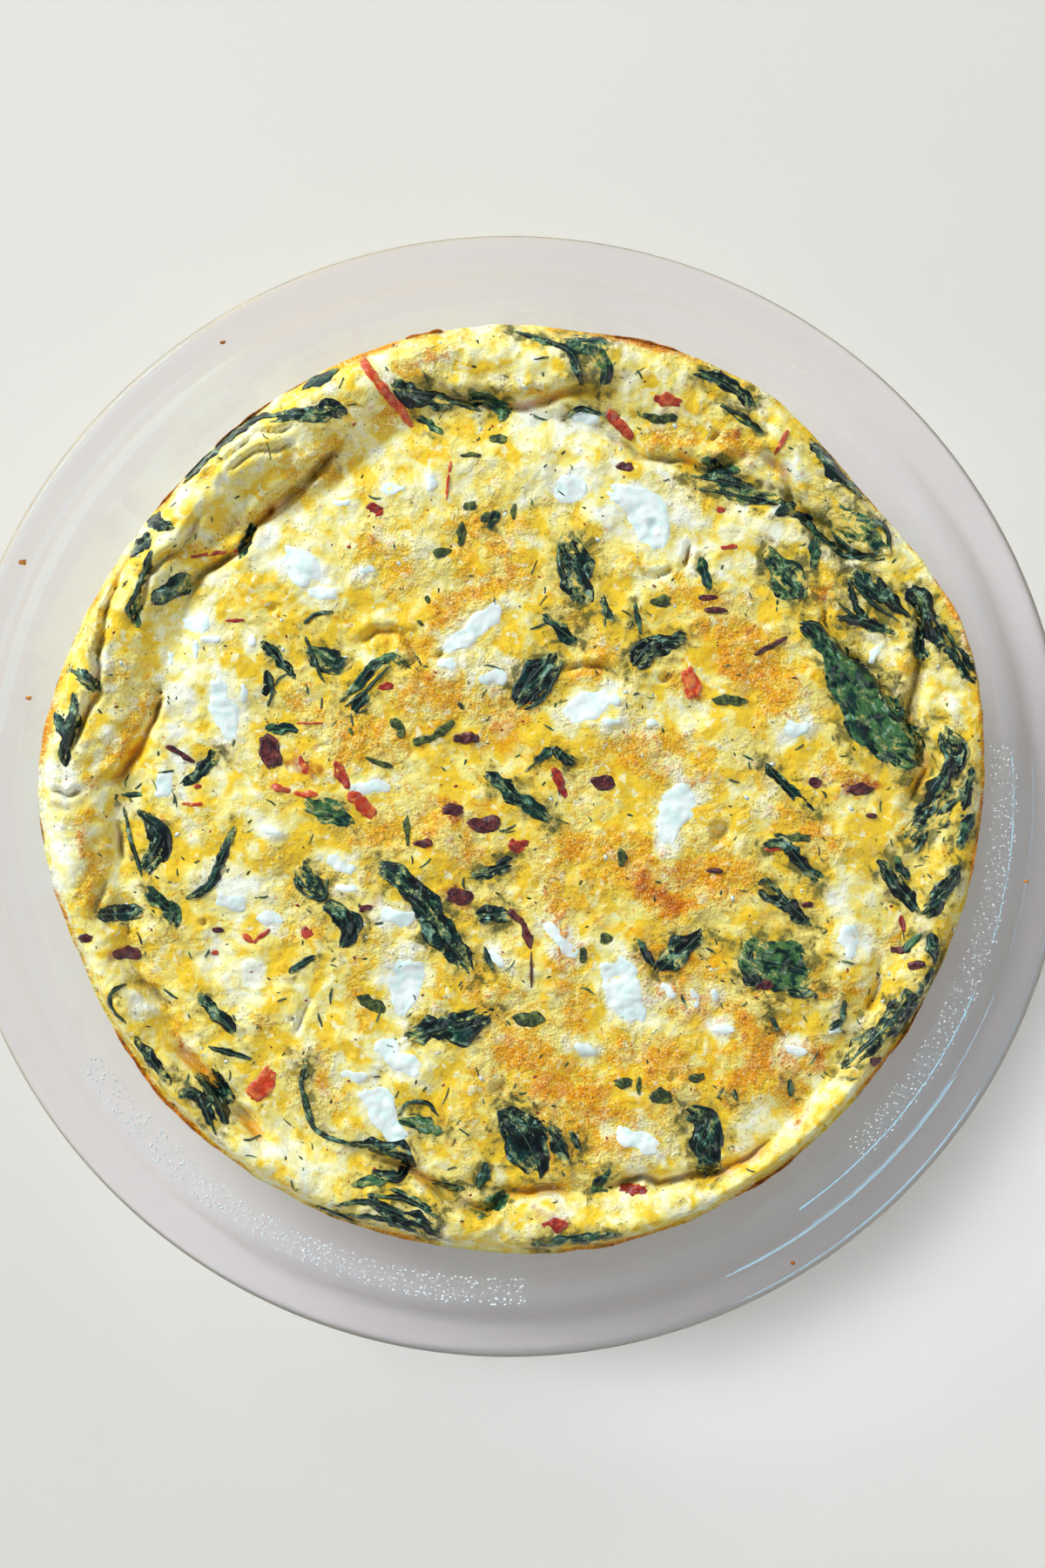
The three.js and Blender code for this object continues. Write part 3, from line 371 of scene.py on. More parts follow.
PALE = [
    (1.0, 240, 676, 205, 790, 46), (1.0, 255, 790, 270, 850, 54), (0.9, 205, 800, 205, 900, 38),
    (0.7, 195, 912, 225, 968, 16), (1.0, 246, 1012, 310, 1044, 54), (0.95, 252, 1096, 285, 1120, 54),
    (0.9, 270, 1140, 278, 1180, 26), (0.9, 292, 502, 256, 558, 28), (0.8, 322, 504, 350, 496, 22),
    (0.9, 282, 646, 330, 592, 36), (0.8, 320, 632, 370, 642, 50), (0.8, 380, 576, 392, 584, 26),
    (0.7, 440, 522, 490, 560, 60), (1.0, 602, 478, 690, 498, 48), (0.9, 602, 562, 680, 556, 50),
    (1.0, 704, 566, 790, 612, 74), (0.95, 762, 622, 880, 610, 28), (0.95, 850, 592, 988, 650, 24),
    (0.8, 732, 662, 790, 660, 18), (0.75, 830, 662, 870, 642, 24), (0.85, 752, 532, 780, 560, 30),
    (0.85, 906, 536, 912, 556, 30), (0.8, 966, 574, 988, 582, 14), (0.95, 716, 436, 726, 404, 28),
    (0.55, 700, 410, 770, 432, 36), (0.75, 757, 470, 763, 470, 16), (0.75, 786, 474, 796, 476, 18),
    (0.65, 550, 398, 620, 410, 20), (0.6, 440, 406, 520, 394, 14), (0.9, 520, 742, 572, 700, 30),
    (0.9, 552, 792, 580, 772, 40), (0.9, 660, 812, 705, 796, 40), (0.55, 715, 796, 800, 820, 44),
    (0.9, 770, 942, 790, 902, 50), (0.9, 912, 826, 918, 842, 26), (0.8, 970, 946, 978, 962, 22),
    (0.95, 960, 1040, 990, 1092, 36), (0.95, 700, 1110, 736, 1150, 56), (0.8, 622, 1058, 650, 1102, 18),
    (0.95, 455, 1105, 468, 1152, 56), (0.8, 434, 1046, 470, 1060, 34), (0.8, 400, 988, 392, 1030, 16),
    (0.95, 440, 1200, 480, 1230, 40), (0.95, 392, 1222, 440, 1288, 30), (0.9, 440, 1288, 480, 1320, 26),
    (0.8, 338, 1230, 352, 1252, 28), (0.95, 280, 1308, 400, 1346, 40), (0.7, 340, 1140, 352, 1200, 22),
    (0.45, 400, 1172, 370, 1100, 44), (0.95, 722, 1300, 732, 1350, 40), (0.7, 766, 1312, 772, 1330, 22),
    (0.8, 700, 1392, 760, 1386, 24), (0.6, 800, 1376, 850, 1368, 16), (0.85, 858, 1304, 902, 1290, 30),
    (0.85, 932, 1270, 962, 1232, 22), (0.75, 900, 1205, 910, 1205, 18), (0.8, 492, 1400, 520, 1420, 26),
    (0.6, 560, 1400, 620, 1380, 20), (1.0, 62, 880, 78, 1000, 50), (0.8, 60, 1004, 76, 1050, 20),
    (0.7, 78, 1062, 102, 1130, 16), (0.85, 108, 876, 150, 802, 14), (0.8, 126, 752, 144, 730, 20),
    (0.75, 1090, 798, 1096, 842, 16), (0.75, 1040, 736, 1050, 744, 16), (0.75, 1030, 644, 1040, 658, 24),
    (0.45, 215, 822, 290, 960, 84), (0.85, 422, 896, 442, 906, 22), (0.9, 414, 752, 428, 756, 18),
    (0.7, 416, 712, 436, 700, 14), (0.4, 420, 522, 620, 580, 110), (0.4, 330, 602, 480, 640, 76),
    (0.6, 614, 1016, 626, 1022, 16), (0.45, 600, 430, 780, 470, 40), (0.4, 880, 640, 950, 640, 30),
    (0.5, 1000, 1090, 1040, 1110, 20), (0.4, 560, 690, 620, 720, 40), (0.4, 820, 860, 860, 930, 60),
    (0.5, 1060, 880, 1070, 850, 14), (0.5, 960, 1000, 1000, 1020, 30),
]
# Reddish stains where tomato lies under the surface, with the same columns
STAINS = [
    (0.9, 340, 866, 366, 888, 30), (0.8, 521, 928, 524, 930, 24), (0.7, 484, 966, 488, 968, 20),
    (0.85, 526, 1016, 530, 1034, 24), (0.9, 976, 902, 998, 908, 26), (0.8, 934, 896, 944, 902, 18),
    (0.8, 890, 742, 908, 726, 10), (0.7, 768, 462, 784, 470, 26), (0.7, 132, 1092, 150, 1098, 20),
    (0.6, 416, 1010, 424, 1044, 16), (0.8, 838, 500, 850, 512, 16), (0.6, 1000, 900, 1006, 930, 12),
    (0.7, 920, 684, 950, 690, 14), (0.6, 1060, 1080, 1072, 1096, 20), (0.6, 392, 932, 424, 948, 30),
    (0.6, 620, 1394, 650, 1404, 26),
]

# %% [markdown]
# ## The baked surface
# The surface is one height for each place. Its large form is that of the solid: a puffed rim inside the
# glass, a crease inside the rim, and low seeded waves in the middle. Creases, holes and lumps come on top.

# %% Smooth seeded noise
NOISE_SEED, NOISE_LAYERS, NOISE_CELLS = 11, 12, 128
noise_turns = np.random.default_rng(NOISE_SEED).random((NOISE_LAYERS, NOISE_CELLS, NOISE_CELLS)) * 2 * np.pi


def noise(x, y, size, layer=0):
    """Smooth noise from about -1 to 1 whose lumps are size millimetres wide."""
    middle = 0.5 * (NOISE_CELLS + 1)
    u, v = np.asarray(x) / size + middle, np.asarray(y) / size + middle
    i, j = np.floor(u).astype(int), np.floor(v).astype(int)
    a, b = u - i, v - j

    def corner(di, dj):
        turn = noise_turns[layer % NOISE_LAYERS, (i + di) % NOISE_CELLS, (j + dj) % NOISE_CELLS]
        return np.cos(turn) * (a - di) + np.sin(turn) * (b - dj)

    p, q = a * a * a * (a * (6 * a - 15) + 10), b * b * b * (b * (6 * b - 15) + 10)
    low = corner(0, 0) * (1 - p) + corner(1, 0) * p
    high = corner(0, 1) * (1 - p) + corner(1, 1) * p
    return 1.5 * (low * (1 - q) + high * q)


def rough_noise(x, y, size, octaves, layer=0):
    """Noise with finer and fainter noise on it, each half as wide and half as strong as the one before."""
    return sum(noise(x, y, size / 2 ** k, layer + k) / 2 ** k for k in range(octaves))


def smoothstep(value, low, high):
    """0 below low, 1 above high, smooth between."""
    t = np.clip((value - low) / (high - low), 0, 1)
    return t * t * (3 - 2 * t)


# %% The large form of the filling
def curve(a, b, c, d, share):
    """A smooth curve from b to c, which also looks at a before them and at d after them."""
    bend = 2 * a - 5 * b + 4 * c - d
    return b + 0.5 * share * (c - a + share * (bend + share * (3 * (b - c) + d - a)))


def around(radii):
    """A closed smooth curve through distances that stand at equal angles."""
    radii = np.array(radii, float)

    def at(angle):
        turn = np.mod(angle / (2 * np.pi), 1) * len(radii)
        i = np.floor(turn).astype(int)
        return curve(*(radii[(i + k) % len(radii)] for k in (-1, 0, 1, 2)), turn - i)

    return at


edge_radius = around(EDGE_RADII)
crease_radius = around(CREASE_RADII)


def random_source(seed):
    """The same seeded draw as the solids use, in whole numbers of 32 bits."""
    state, wrap = seed, 2 ** 32
    while True:
        state = (state + 0x6D2B79F5) % wrap
        mixed = (state ^ (state >> 15)) * (1 | state) % wrap
        mixed = (mixed + (mixed ^ (mixed >> 7)) * (61 | mixed) % wrap) % wrap ^ mixed
        yield (mixed ^ (mixed >> 14)) / wrap


draw = random_source(LUMP_SEED)
# Low waves: the direction they cross the filling, their length in mm and where they start
RIPPLES = [(next(draw) * math.pi, 20 + 26 * next(draw), next(draw) * 2 * math.pi) for _ in range(6)]


def ripple(x, y):
    """The sum of the low waves, from -1 to 1."""
    total = 0
    for across, length, phase in RIPPLES:
        total = total + np.sin(2 * np.pi * (x * math.cos(across) + y * math.sin(across)) / length + phase)
    return total / len(RIPPLES)


def edge_height(angle):
    """Height at which the filling's edge meets the sloping wall."""
    return WALL_TOP_HEIGHT - (WALL_TOP_RADIUS - GAP / math.cos(LEAN) - edge_radius(angle)) / math.tan(LEAN)


def rim_share(x, y):
    """0 at the filling's edge, 1 at the crease inside the puffed rim and inside it."""
    angle = np.arctan2(y, x)
    edge, crease = edge_radius(angle), crease_radius(angle)
    return np.clip((edge - np.hypot(x, y)) / (edge - crease), 0, 1)


def direction(degrees):
    """Cosine and sine of an angle in degrees."""
    return math.cos(math.radians(degrees)), math.sin(math.radians(degrees))


def swell_height(x, y):
    """Height that the puffed rolls add."""
    total = 0
    for cx, cy, half_length, half_width, turn, height in SWELLS:
        cos, sin = direction(turn)
        along = ((x - cx) * cos + (y - cy) * sin) / half_length
        across = ((y - cy) * cos - (x - cx) * sin) / half_width
        total = total + height * np.exp(-along * along - across * across)
    return total


def peak_at(share, peak):
    """0 at share 0, 1 where share is peak, and 0 at share 1."""
    return np.sin(np.pi * share ** (math.log(0.5) / math.log(peak)))


def base_height(x, y):
    """Height of the large form, which the solid has too."""
    angle, radius = np.arctan2(y, x), np.hypot(x, y)
    share, edge = rim_share(x, y), edge_height(angle)
    base = edge + (CREASE_HEIGHT - edge) * share
    at_crest = edge + (CREASE_HEIGHT - edge) * CREST_POSITION
    fold = sum(size * np.sin(count * angle + start) for size, count, start in CREST_FOLDS)
    crest = CREST_HEIGHT + CREST_SWELL * np.cos(angle - HIGHEST_CREST) + fold
    rim = base + (crest - at_crest) * peak_at(share, CREST_POSITION) + 0.5 * share * ripple(x, y)
    inside = np.maximum(crease_radius(angle) - radius, 0)
    hollow = np.exp(-((inside / HOLLOW_WIDTH) ** 2))
    middle = MIDDLE_HEIGHT + (CREASE_HEIGHT - MIDDLE_HEIGHT) * hollow + (0.85 - 0.35 * hollow) * ripple(x, y)
    return np.where(share >= 1, middle, rim) + np.minimum(1, share / 0.14) * swell_height(x, y)


# %% Distances to lines and pieces
FAR = 1e9


def share_between(x, y, start, end):
    """How far along a straight step each point lies, from 0 to 1, and the step itself."""
    (ax, ay), (bx, by) = start, end
    dx, dy = bx - ax, by - ay
    return np.clip(((x - ax) * dx + (y - ay) * dy) / (dx * dx + dy * dy + 1e-9), 0, 1), dx, dy


def line_side(x, y, ends):
    """Distance to a line, whether the point lies farther out, and how far the line has opened there."""
    nearest, line_radius, place = np.full(np.shape(x), FAR), np.zeros(np.shape(x)), np.zeros(np.shape(x))
    before = 0.0
    for start, end in zip(ends[:-1], ends[1:]):
        t, dx, dy = share_between(x, y, start, end)
        px, py = start[0] + t * dx, start[1] + t * dy
        d = np.hypot(x - px, y - py)
        closer = d < nearest
        line_radius = np.where(closer, np.hypot(px, py), line_radius)
        place = np.where(closer, before + t * math.dist(start, end), place)
        nearest = np.minimum(nearest, d)
        before += math.dist(start, end)
    share = place / before
    opened = smoothstep(share, 0, 0.18) * (1 - smoothstep(share, 0.82, 1.0))
    return nearest, np.hypot(x, y) > line_radius, 0.15 + 0.85 * opened


CREASE_LINES = [(depth, width, [plan(*p) for p in line]) for depth, width, line in CREASES]
HOLE_PLACES = [(depth, radius, *plan(px, py)) for depth, radius, px, py in HOLES]


def bit_row(x0, y0, x1, y1, width):
    """x, y, length, width, turn, bend and place of the widest part, from two ends and a width."""
    (ax, ay), (bx, by) = plan(x0, y0), plan(x1, y1)
    wide = width / PX_PER_MM
    return ((ax + bx) / 2, (ay + by) / 2, math.hypot(bx - ax, by - ay) + 0.4 * wide, wide,
            math.degrees(math.atan2(by - ay, bx - ax)), 0, 0.5)


def row_form(row):
    """Places in millimetres with widths along the middle of a row's piece."""
    cx, cy, length, width, turn, bend, widest = row
    cos, sin = direction(turn)
    form = []
    for share in (0, 0.12, 0.3, 0.5, 0.7, 0.88, 1):
        a, c = (share - 0.5) * length, bend * (1 - (2 * share - 1) ** 2)
        swell = max(float(peak_at(share, widest)), 0) ** 0.55
        form.append((cx + a * cos - c * sin, cy + a * sin + c * cos, width * (0.16 + 0.84 * swell)))
    return form


def pixel_form(form):
    """A form that is given in pixels, in millimetres."""
    return [(*plan(px, py), width / PX_PER_MM) for px, py, width in form]


def stroke_form(width, line):
    """The form of a folded edge or stem, thinner at its ends."""
    wide = 1.15 * width / PX_PER_MM
    return [(*plan(*place), wide * (0.5 if i in (0, len(line) - 1) else 1)) for i, place in enumerate(line)]


def form_distance(x, y, form):
    """Distance from each point to the edge of a piece, less than 0 inside it."""
    nearest = np.full(np.shape(x), FAR)
    for (ax, ay, aw), (bx, by, bw) in zip(form[:-1], form[1:]):
        t, dx, dy = share_between(x, y, (ax, ay), (bx, by))
        half = 0.5 * (aw + (bw - aw) * t)
        nearest = np.minimum(nearest, np.hypot(x - ax - t * dx, y - ay - t * dy) - half)
    return nearest


def end_form(x0, y0, x1, y1, width):
    """A piece that is as wide at its ends as in its middle."""
    wide = width / PX_PER_MM
    return [(*plan(x0, y0), wide), (*plan(x1, y1), wide)]


def bit_forms(bits, wider=1.0):
    """Forms of small pieces that are given by two ends and a width."""
    return [row_form(bit_row(*ends, wider * width)) for *ends, width in bits]


# %% The baked surface
curd_forms = bit_forms(CURDS)
curd_widths = [width / PX_PER_MM for *_, width in CURDS]


def hill(distance, reach):
    """1 at distance 0, falling off smoothly over a reach."""
    return np.exp(-((distance / reach) ** 2))


def surface(x, y):
    """Height of the baked surface in millimetres."""
    x, y = np.asarray(x, float), np.asarray(y, float)
    z = base_height(x, y)
    away = smoothstep(rim_share(x, y), 0.02, 0.25)
    wx, wy = x + 0.7 * noise(x, y, 5, 3), y + 0.7 * noise(x, y, 5, 4)
    uneven = 0.85 + 0.5 * noise(x, y, 5, 2)
    for depth, width, line in CREASE_LINES:
        d, outer, opened = line_side(wx, wy, line)
        near = d < 5 * width
        if near.any():
            cut = 1.6 * depth * hill(d, np.where(outer, 0.62 * width, 0.95 * width))
            lip = np.where(outer, 0.8, 0.3) * depth * hill(d - 2.0 * width, 1.3 * width)
            z = z - np.where(near, (cut - lip) * opened * uneven, 0)
    for depth, radius, cx, cy in HOLE_PLACES:
        d = np.hypot(wx - cx, wy - cy)
        z = z - depth * np.exp(-((d / radius) ** 4)) + 0.18 * hill(d - 1.5 * radius, 0.5 * radius)
    for form, width in zip(curd_forms, curd_widths):
        z = z + 0.4 * smoothstep(-form_distance(wx, wy, form), -0.8, 0.5 * width)
    ridged = 0.42 * np.abs(rough_noise(x, y, 4.2, 2, 5)) * (1.5 - 0.7 * rim_share(x, y))
    lumps = 0.7 * rough_noise(x, y, 9, 2, 1) + ridged + 0.14 * noise(x, y, 1.6, 8)
    return z + away * lumps - 0.15 * away


sample = surface(np.linspace(-90, 90, 7), np.zeros(7))
print("heights across the middle", np.round(sample, 1).tolist())

# %% [markdown]
# ## Making meshes
# Every piece is closed. A thin piece has a grid of points for its top and one for its underside, and faces
# join the two along the edge.


# %% Mesh helpers
def new_piece(name, points, faces, material=None, floats=None):
    """A smooth mesh object from points in millimetres, with named values at its points."""
    mesh = bpy.data.meshes.new(name)
    mesh.from_pydata((np.asarray(points, float) * MM).tolist(), [], [list(map(int, face)) for face in faces])
    mesh.polygons.foreach_set("use_smooth", [True] * len(mesh.polygons))
    for key, values in (floats or {}).items():
        mesh.attributes.new(key, "FLOAT", "POINT").data.foreach_set("value", np.asarray(values, np.float32))
    if material:
        mesh.materials.append(material)
    piece = bpy.data.objects.new(name, mesh)
    bpy.context.scene.collection.objects.link(piece)
    return piece


def grid_faces(rows, columns):
    """The four-sided faces of a grid of points, and the points along its border."""
    ids = np.arange(rows * columns).reshape(rows, columns)
    quads = np.stack([ids[:-1, :-1], ids[1:, :-1], ids[1:, 1:], ids[:-1, 1:]], -1).reshape(-1, 4)
    return quads, np.concatenate([ids[:, 0], ids[-1, 1:], ids[-2::-1, -1], ids[0, -2:0:-1]])


def closed_sheet(top, under):
    """Points and faces of a solid between two grids of points."""
    quads, rim = grid_faces(*top.shape[:2])
    below, after = top.shape[0] * top.shape[1], np.roll(rim, -1)
    side = np.stack([rim, rim + below, after + below, after], -1)
    faces = np.concatenate([quads, quads[:, ::-1] + below, side])
    return np.concatenate([top.reshape(-1, 3), under.reshape(-1, 3)]), faces


def on_circle(radius, turn, z):
    """Points at a distance, an angle and a height."""
    return np.stack([radius * np.cos(turn), radius * np.sin(turn), z], -1)


# %% [markdown]
# ## Materials
# Sums of shader sockets read like ordinary sums through one small class.

# %% A small language for shader nodes
def paint(red, green, blue):
    """A colour given as on a screen, 0 to 255, as the linear values that shaders use."""
    values = (v / 255 for v in (red, green, blue))
    return tuple(v / 12.92 if v <= 0.04045 else ((v + 0.055) / 1.055) ** 2.4 for v in values)


class Wire:
    """A node's output that can be used in sums."""

    def __init__(self, look, socket):
        self.look, self.socket = look, socket

    def sum(self, operation, *others):
        inputs = dict(enumerate([self, *others]))
        return self.look.node("ShaderNodeMath", {"operation": operation}, inputs)

    def __add__(self, other):
        return self.sum("ADD", other)

    def __sub__(self, other):
        return self.sum("SUBTRACT", other)

    def __rsub__(self, other):
        return self.look.node("ShaderNodeMath", {"operation": "SUBTRACT"}, {0: other, 1: self})

    def __mul__(self, other):
        return self.sum("MULTIPLY", other)

    def __abs__(self):
        return self.sum("ABSOLUTE")

    __radd__ = __add__
    __rmul__ = __mul__

    def swing(self, amount):
        """Noise that swings about 0 instead of 0.5, made stronger."""
        return (self - 0.5) * amount

    def step(self, low, high):
        """0 below low, 1 above high, smooth between."""
        inputs = {"Value": self, "From Min": low, "From Max": high}
        return self.look.node("ShaderNodeMapRange", {"interpolation_type": "SMOOTHSTEP"}, inputs)


class Look:
    """A procedural material that is built from expressions."""

    def __init__(self, name):
        self.material = bpy.data.materials.new(name)
        self.material.use_nodes = True
        self.tree = self.material.node_tree
        self.tree.nodes.clear()
        self.place = self.node("ShaderNodeTexCoord", output="Object")

    def node(self, kind, settings=None, inputs=None, output=0):
        made = self.tree.nodes.new(kind)
        for key, value in (settings or {}).items():
            setattr(made, key, value)
        for key, value in (inputs or {}).items():
            self.connect(value, made.inputs[key])
        return Wire(self, made.outputs[output])

    def connect(self, value, socket):
        if isinstance(value, Wire):
            self.tree.links.new(value.socket, socket)
        elif isinstance(value, tuple) and socket.type == "RGBA":
            socket.default_value = (*value, 1)
        else:
            socket.default_value = value

    def noise(self, size_mm, detail=3.0, twist=0.0, offset=None):
        """Noise in the piece's own space, from 0 to 1. An offset makes it another one of the same kind."""
        place = self.place
        if offset:
            place = self.node("ShaderNodeVectorMath", {"operation": "ADD"}, {0: place, 1: (offset * MM,) * 3})
        inputs = {"Vector": place, "Scale": 1 / (size_mm * MM), "Detail": detail, "Distortion": twist}
        return self.node("ShaderNodeTexNoise", inputs=inputs)

    def strands(self, u, v, w, detail=3.0):
        """Noise at a place that is given by three values, for streaks that follow a piece."""
        place = self.node("ShaderNodeCombineXYZ", inputs={"X": u, "Y": v, "Z": w})
        return self.node("ShaderNodeTexNoise", inputs={"Vector": place, "Scale": 1.0, "Detail": detail})

    def value(self, name):
        """A named value of the mesh's points."""
        return self.node("ShaderNodeAttribute", {"attribute_name": name}, output="Fac")

    def mix(self, first, second, share):
        return self.node("ShaderNodeMix", {"data_type": "RGBA"}, {0: share, 6: first, 7: second}, output=2)

    def layers(self, colour, *coats):
        """A colour with others laid over it in turn, each by its share."""
        for coat, share in coats:
            colour = self.mix(colour, coat, share)
        return colour

    def bump(self, height, distance_mm, strength=1.0):
        inputs = {"Height": height, "Distance": distance_mm * MM, "Strength": strength}
        return self.node("ShaderNodeBump", inputs=inputs)

    def plain(self, **inputs):
        named = {key.replace("_", " "): value for key, value in inputs.items()}
        return self.node("ShaderNodeBsdfPrincipled", inputs=named)

    def finish(self, shader):
        """The material that shows a shader."""
        end = self.tree.nodes.new("ShaderNodeOutputMaterial")
        self.tree.links.new(shader.socket, end.inputs["Surface"])
        return self.material


# %% [markdown]
# The baked egg is creamy yellow, mottled, golden where the oven browned it, green beside the leaves,
# and glossy with oil, with painted shade in its creases. The named values at the points say where each lies,
# and noise breaks their edges.

# %% Egg
def egg_material():
    """Baked egg in layers of colour, from its pale froth to its browned and green places."""
    look = Look("baked_egg")
    yellow, pale, cream = paint(247, 207, 56), paint(249, 233, 134), paint(252, 246, 198)
    gold, amber, toast = paint(241, 176, 20), paint(236, 148, 6), paint(198, 94, 2)
    brown, leafy, pale_place = look.value("brown"), look.value("leafy"), look.value("pale")
    # Noise from wide patches to fine froth
    patch, mottle = look.noise(11, 2, 0.6, 71), look.noise(4.2, 3, 0.7)
    smooth = look.noise(4.6, 1.6, 0.5, 111)
    soft, blobs = look.noise(3.2, 1.5, 0.8, 93), look.noise(2.4, 1.2, 0.5, 151)
    grain, spots = look.noise(1.6, 3, 0.4, 31), look.noise(1.3, 2, 0, 131)
    fine, froth = look.noise(0.55, 3, 0, 57), look.noise(0.42, 2, 0, 27)
    frothy = (brown + patch.swing(2.6)).step(0.0, 0.6)
    rough = (grain - 0.5) * (frothy * 0.8 + 0.4)
    tan = brown * 0.95 + mottle.swing(2.8) + rough * 1.4 + patch.swing(0.6)
    light = pale_place * 0.9 + smooth.swing(2.4) + mottle.swing(1.4) + rough * 1.0
    burnt = brown + rough * 1.45 + fine.swing(0.3) + mottle.swing(1.2)
    stain = look.value("stain") + mottle.swing(1.6) + rough * 1.6
    # Painted shade: along the creases the egg turns orange or dark olive brown for the shade in the folds.
    fold = look.value("crease") + mottle.swing(0.8)
    crease_shade_colour = look.mix(paint(214, 126, 10), paint(110, 90, 26), patch.step(0.44, 0.54))
    smoke = leafy + soft.swing(2.4) + patch.swing(1.4) + grain.swing(0.9)
    herbs = fine * 0.66 + grain * 0.2 + soft * 0.14 + leafy * 0.045
    colour = look.layers(
        yellow,
        (pale, (patch * 0.35 + smooth * 0.65 + rough * 0.4).step(0.44, 0.57)),
        (gold, tan.step(0.16, 0.84) * 0.94),
        (pale, light.step(0.06, 0.46)),
        (cream, light.step(0.40, 0.84)),
        (cream, (blobs - brown * 0.06 - leafy * 0.1).step(0.58, 0.68) * 0.8),
        (paint(252, 254, 236), light.step(0.84, 1.14)),
        (amber, burnt.step(0.66, 1.16) * 0.85),
        (toast, burnt.step(1.08, 1.70) * 0.9),
        (paint(170, 58, 26), stain.step(0.36, 1.0) * 0.8),
        (crease_shade_colour, fold.step(0.34, 1.1) * 0.6),
        (paint(200, 122, 16), froth.step(0.49, 0.38) * (frothy * 0.34 + 0.03)),
        (paint(255, 246, 178), froth.step(0.54, 0.66) * (frothy * 0.48 + 0.06)),
        (paint(230, 138, 10), (spots - pale_place * 0.08).step(0.61, 0.70) * 0.55),
        (paint(186, 157, 60), smoke.step(0.44, 1.04) * 0.52),
        (paint(90, 92, 46), smoke.step(0.92, 1.36) * 0.80),
        (paint(84, 82, 36), herbs.step(0.610, 0.660) * 0.75),
    )
    relief = mottle * 0.5 + rough * 0.7 + fine * frothy * 0.35 + patch * 0.3
    oil = look.noise(7, 2, 0, 44).step(0.42, 0.58)
    return look.finish(look.plain(
        Base_Color=colour, Roughness=grain * 0.3 + frothy * 0.12 + 0.18, Normal=look.bump(relief, 1.3, 0.85),
        Subsurface_Weight=0.08, Subsurface_Radius=(1.0, 0.6, 0.25), Subsurface_Scale=0.0015,
        Specular_IOR_Level=0.28, Coat_Weight=oil * 0.5, Coat_Roughness=0.07, IOR=1.38,
    ))


# %% Spinach
def leaf_material():
    """Cooked spinach with streaks along the leaf, painted pale highlights along its ridges, a pale rib and a
    film of egg.
    """
    look = Look("cooked_spinach")
    along, across, tone = look.value("along"), look.value("across"), look.value("tone")
    edge, filmed = look.value("edge"), look.value("film")
    mottle, grain = look.noise(3.6, 3, 0.8, 5), look.noise(0.8, 3, 0.4, 15)
    soft, bubbles = look.noise(3.0, 1.5, 0.8, 45), look.noise(0.5, 2, 0, 61).step(0.58, 0.66)
    fibres = look.strands(along * 0.42, across * 2.6 + mottle.swing(5.0), tone * 9.0)
    threads = look.strands(along * 0.8 + 7.0, across * 6.5 + mottle.swing(7.0), tone * 5.0, 2.0)
    depth = (fibres * 0.5 + mottle * 0.5 + tone * 0.10).step(0.45, 0.66)
    dark = look.mix(paint(0, 8, 14), paint(10, 54, 50), depth)
    green = look.mix(paint(44, 110, 98), paint(72, 120, 62), tone)
    lit = fibres * 0.4 + soft * 0.6 + tone * tone * 0.11 - edge * 0.10
    # Painted highlight: where shine is high the leaf is painted pale bluish white for the sheen on its wet
    # ridges.
    shine = threads * 0.35 + fibres * 0.2 + soft * 0.45 - edge * 0.03
    middle = 1 - abs(across + mottle.swing(0.2)).step(0.01, 0.07)
    egg_film = filmed + soft.swing(1.8) + fibres.swing(2.8) + grain.swing(0.5) - edge * 0.25
    colour = look.layers(
        dark,
        (green, lit.step(0.51, 0.63) * 0.85),
        (paint(168, 212, 208), shine.step(0.560, 0.640) * 0.8),
        (paint(112, 156, 120), middle * 0.25),
        (paint(126, 136, 72), egg_film.step(0.34, 0.72) * 0.7),
        (paint(236, 204, 96), egg_film.step(0.66, 1.0) * 0.95),
        (paint(206, 214, 160), bubbles * egg_film.step(0.1, 0.6) * 0.6),
    )
    relief = mottle * 0.5 + fibres * 0.35 + grain * 0.2 + soft * 0.3
    return look.finish(look.plain(
        Base_Color=colour, Roughness=grain * 0.3 + 0.18, Normal=look.bump(relief, 0.9, 0.9),
        Specular_IOR_Level=0.25, Coat_Weight=0.55, Coat_Roughness=0.1,
    ))


# %% Cheese, tomato, herbs and dark pieces
def cheese_material():
    look = Look("soft_white_cheese")
    mottle, grain = look.noise(2.6, 4, 0.4, 7), look.noise(0.7, 3, 0, 17)
    colour = look.mix(paint(247, 255, 252), paint(226, 250, 247), mottle.step(0.4, 0.65))
    egg_film = look.value("film") + (mottle - 0.5) * 1.2 + (grain - 0.5) * 0.6
    colour = look.mix(colour, paint(254, 254, 226), egg_film.step(0.20, 0.70))
    colour = look.mix(colour, paint(254, 242, 160), egg_film.step(0.72, 1.1) * 0.8)
    shader = look.plain(
        Base_Color=colour, Roughness=grain * 0.25 + 0.32,
        Normal=look.bump(mottle * 0.6 + grain * 0.3, 0.5, 0.4),
        Subsurface_Weight=0.15, Subsurface_Radius=(1.0, 0.8, 0.6), Subsurface_Scale=0.002,
        Coat_Weight=0.25, Coat_Roughness=0.2,
    )
    return look.finish(shader)


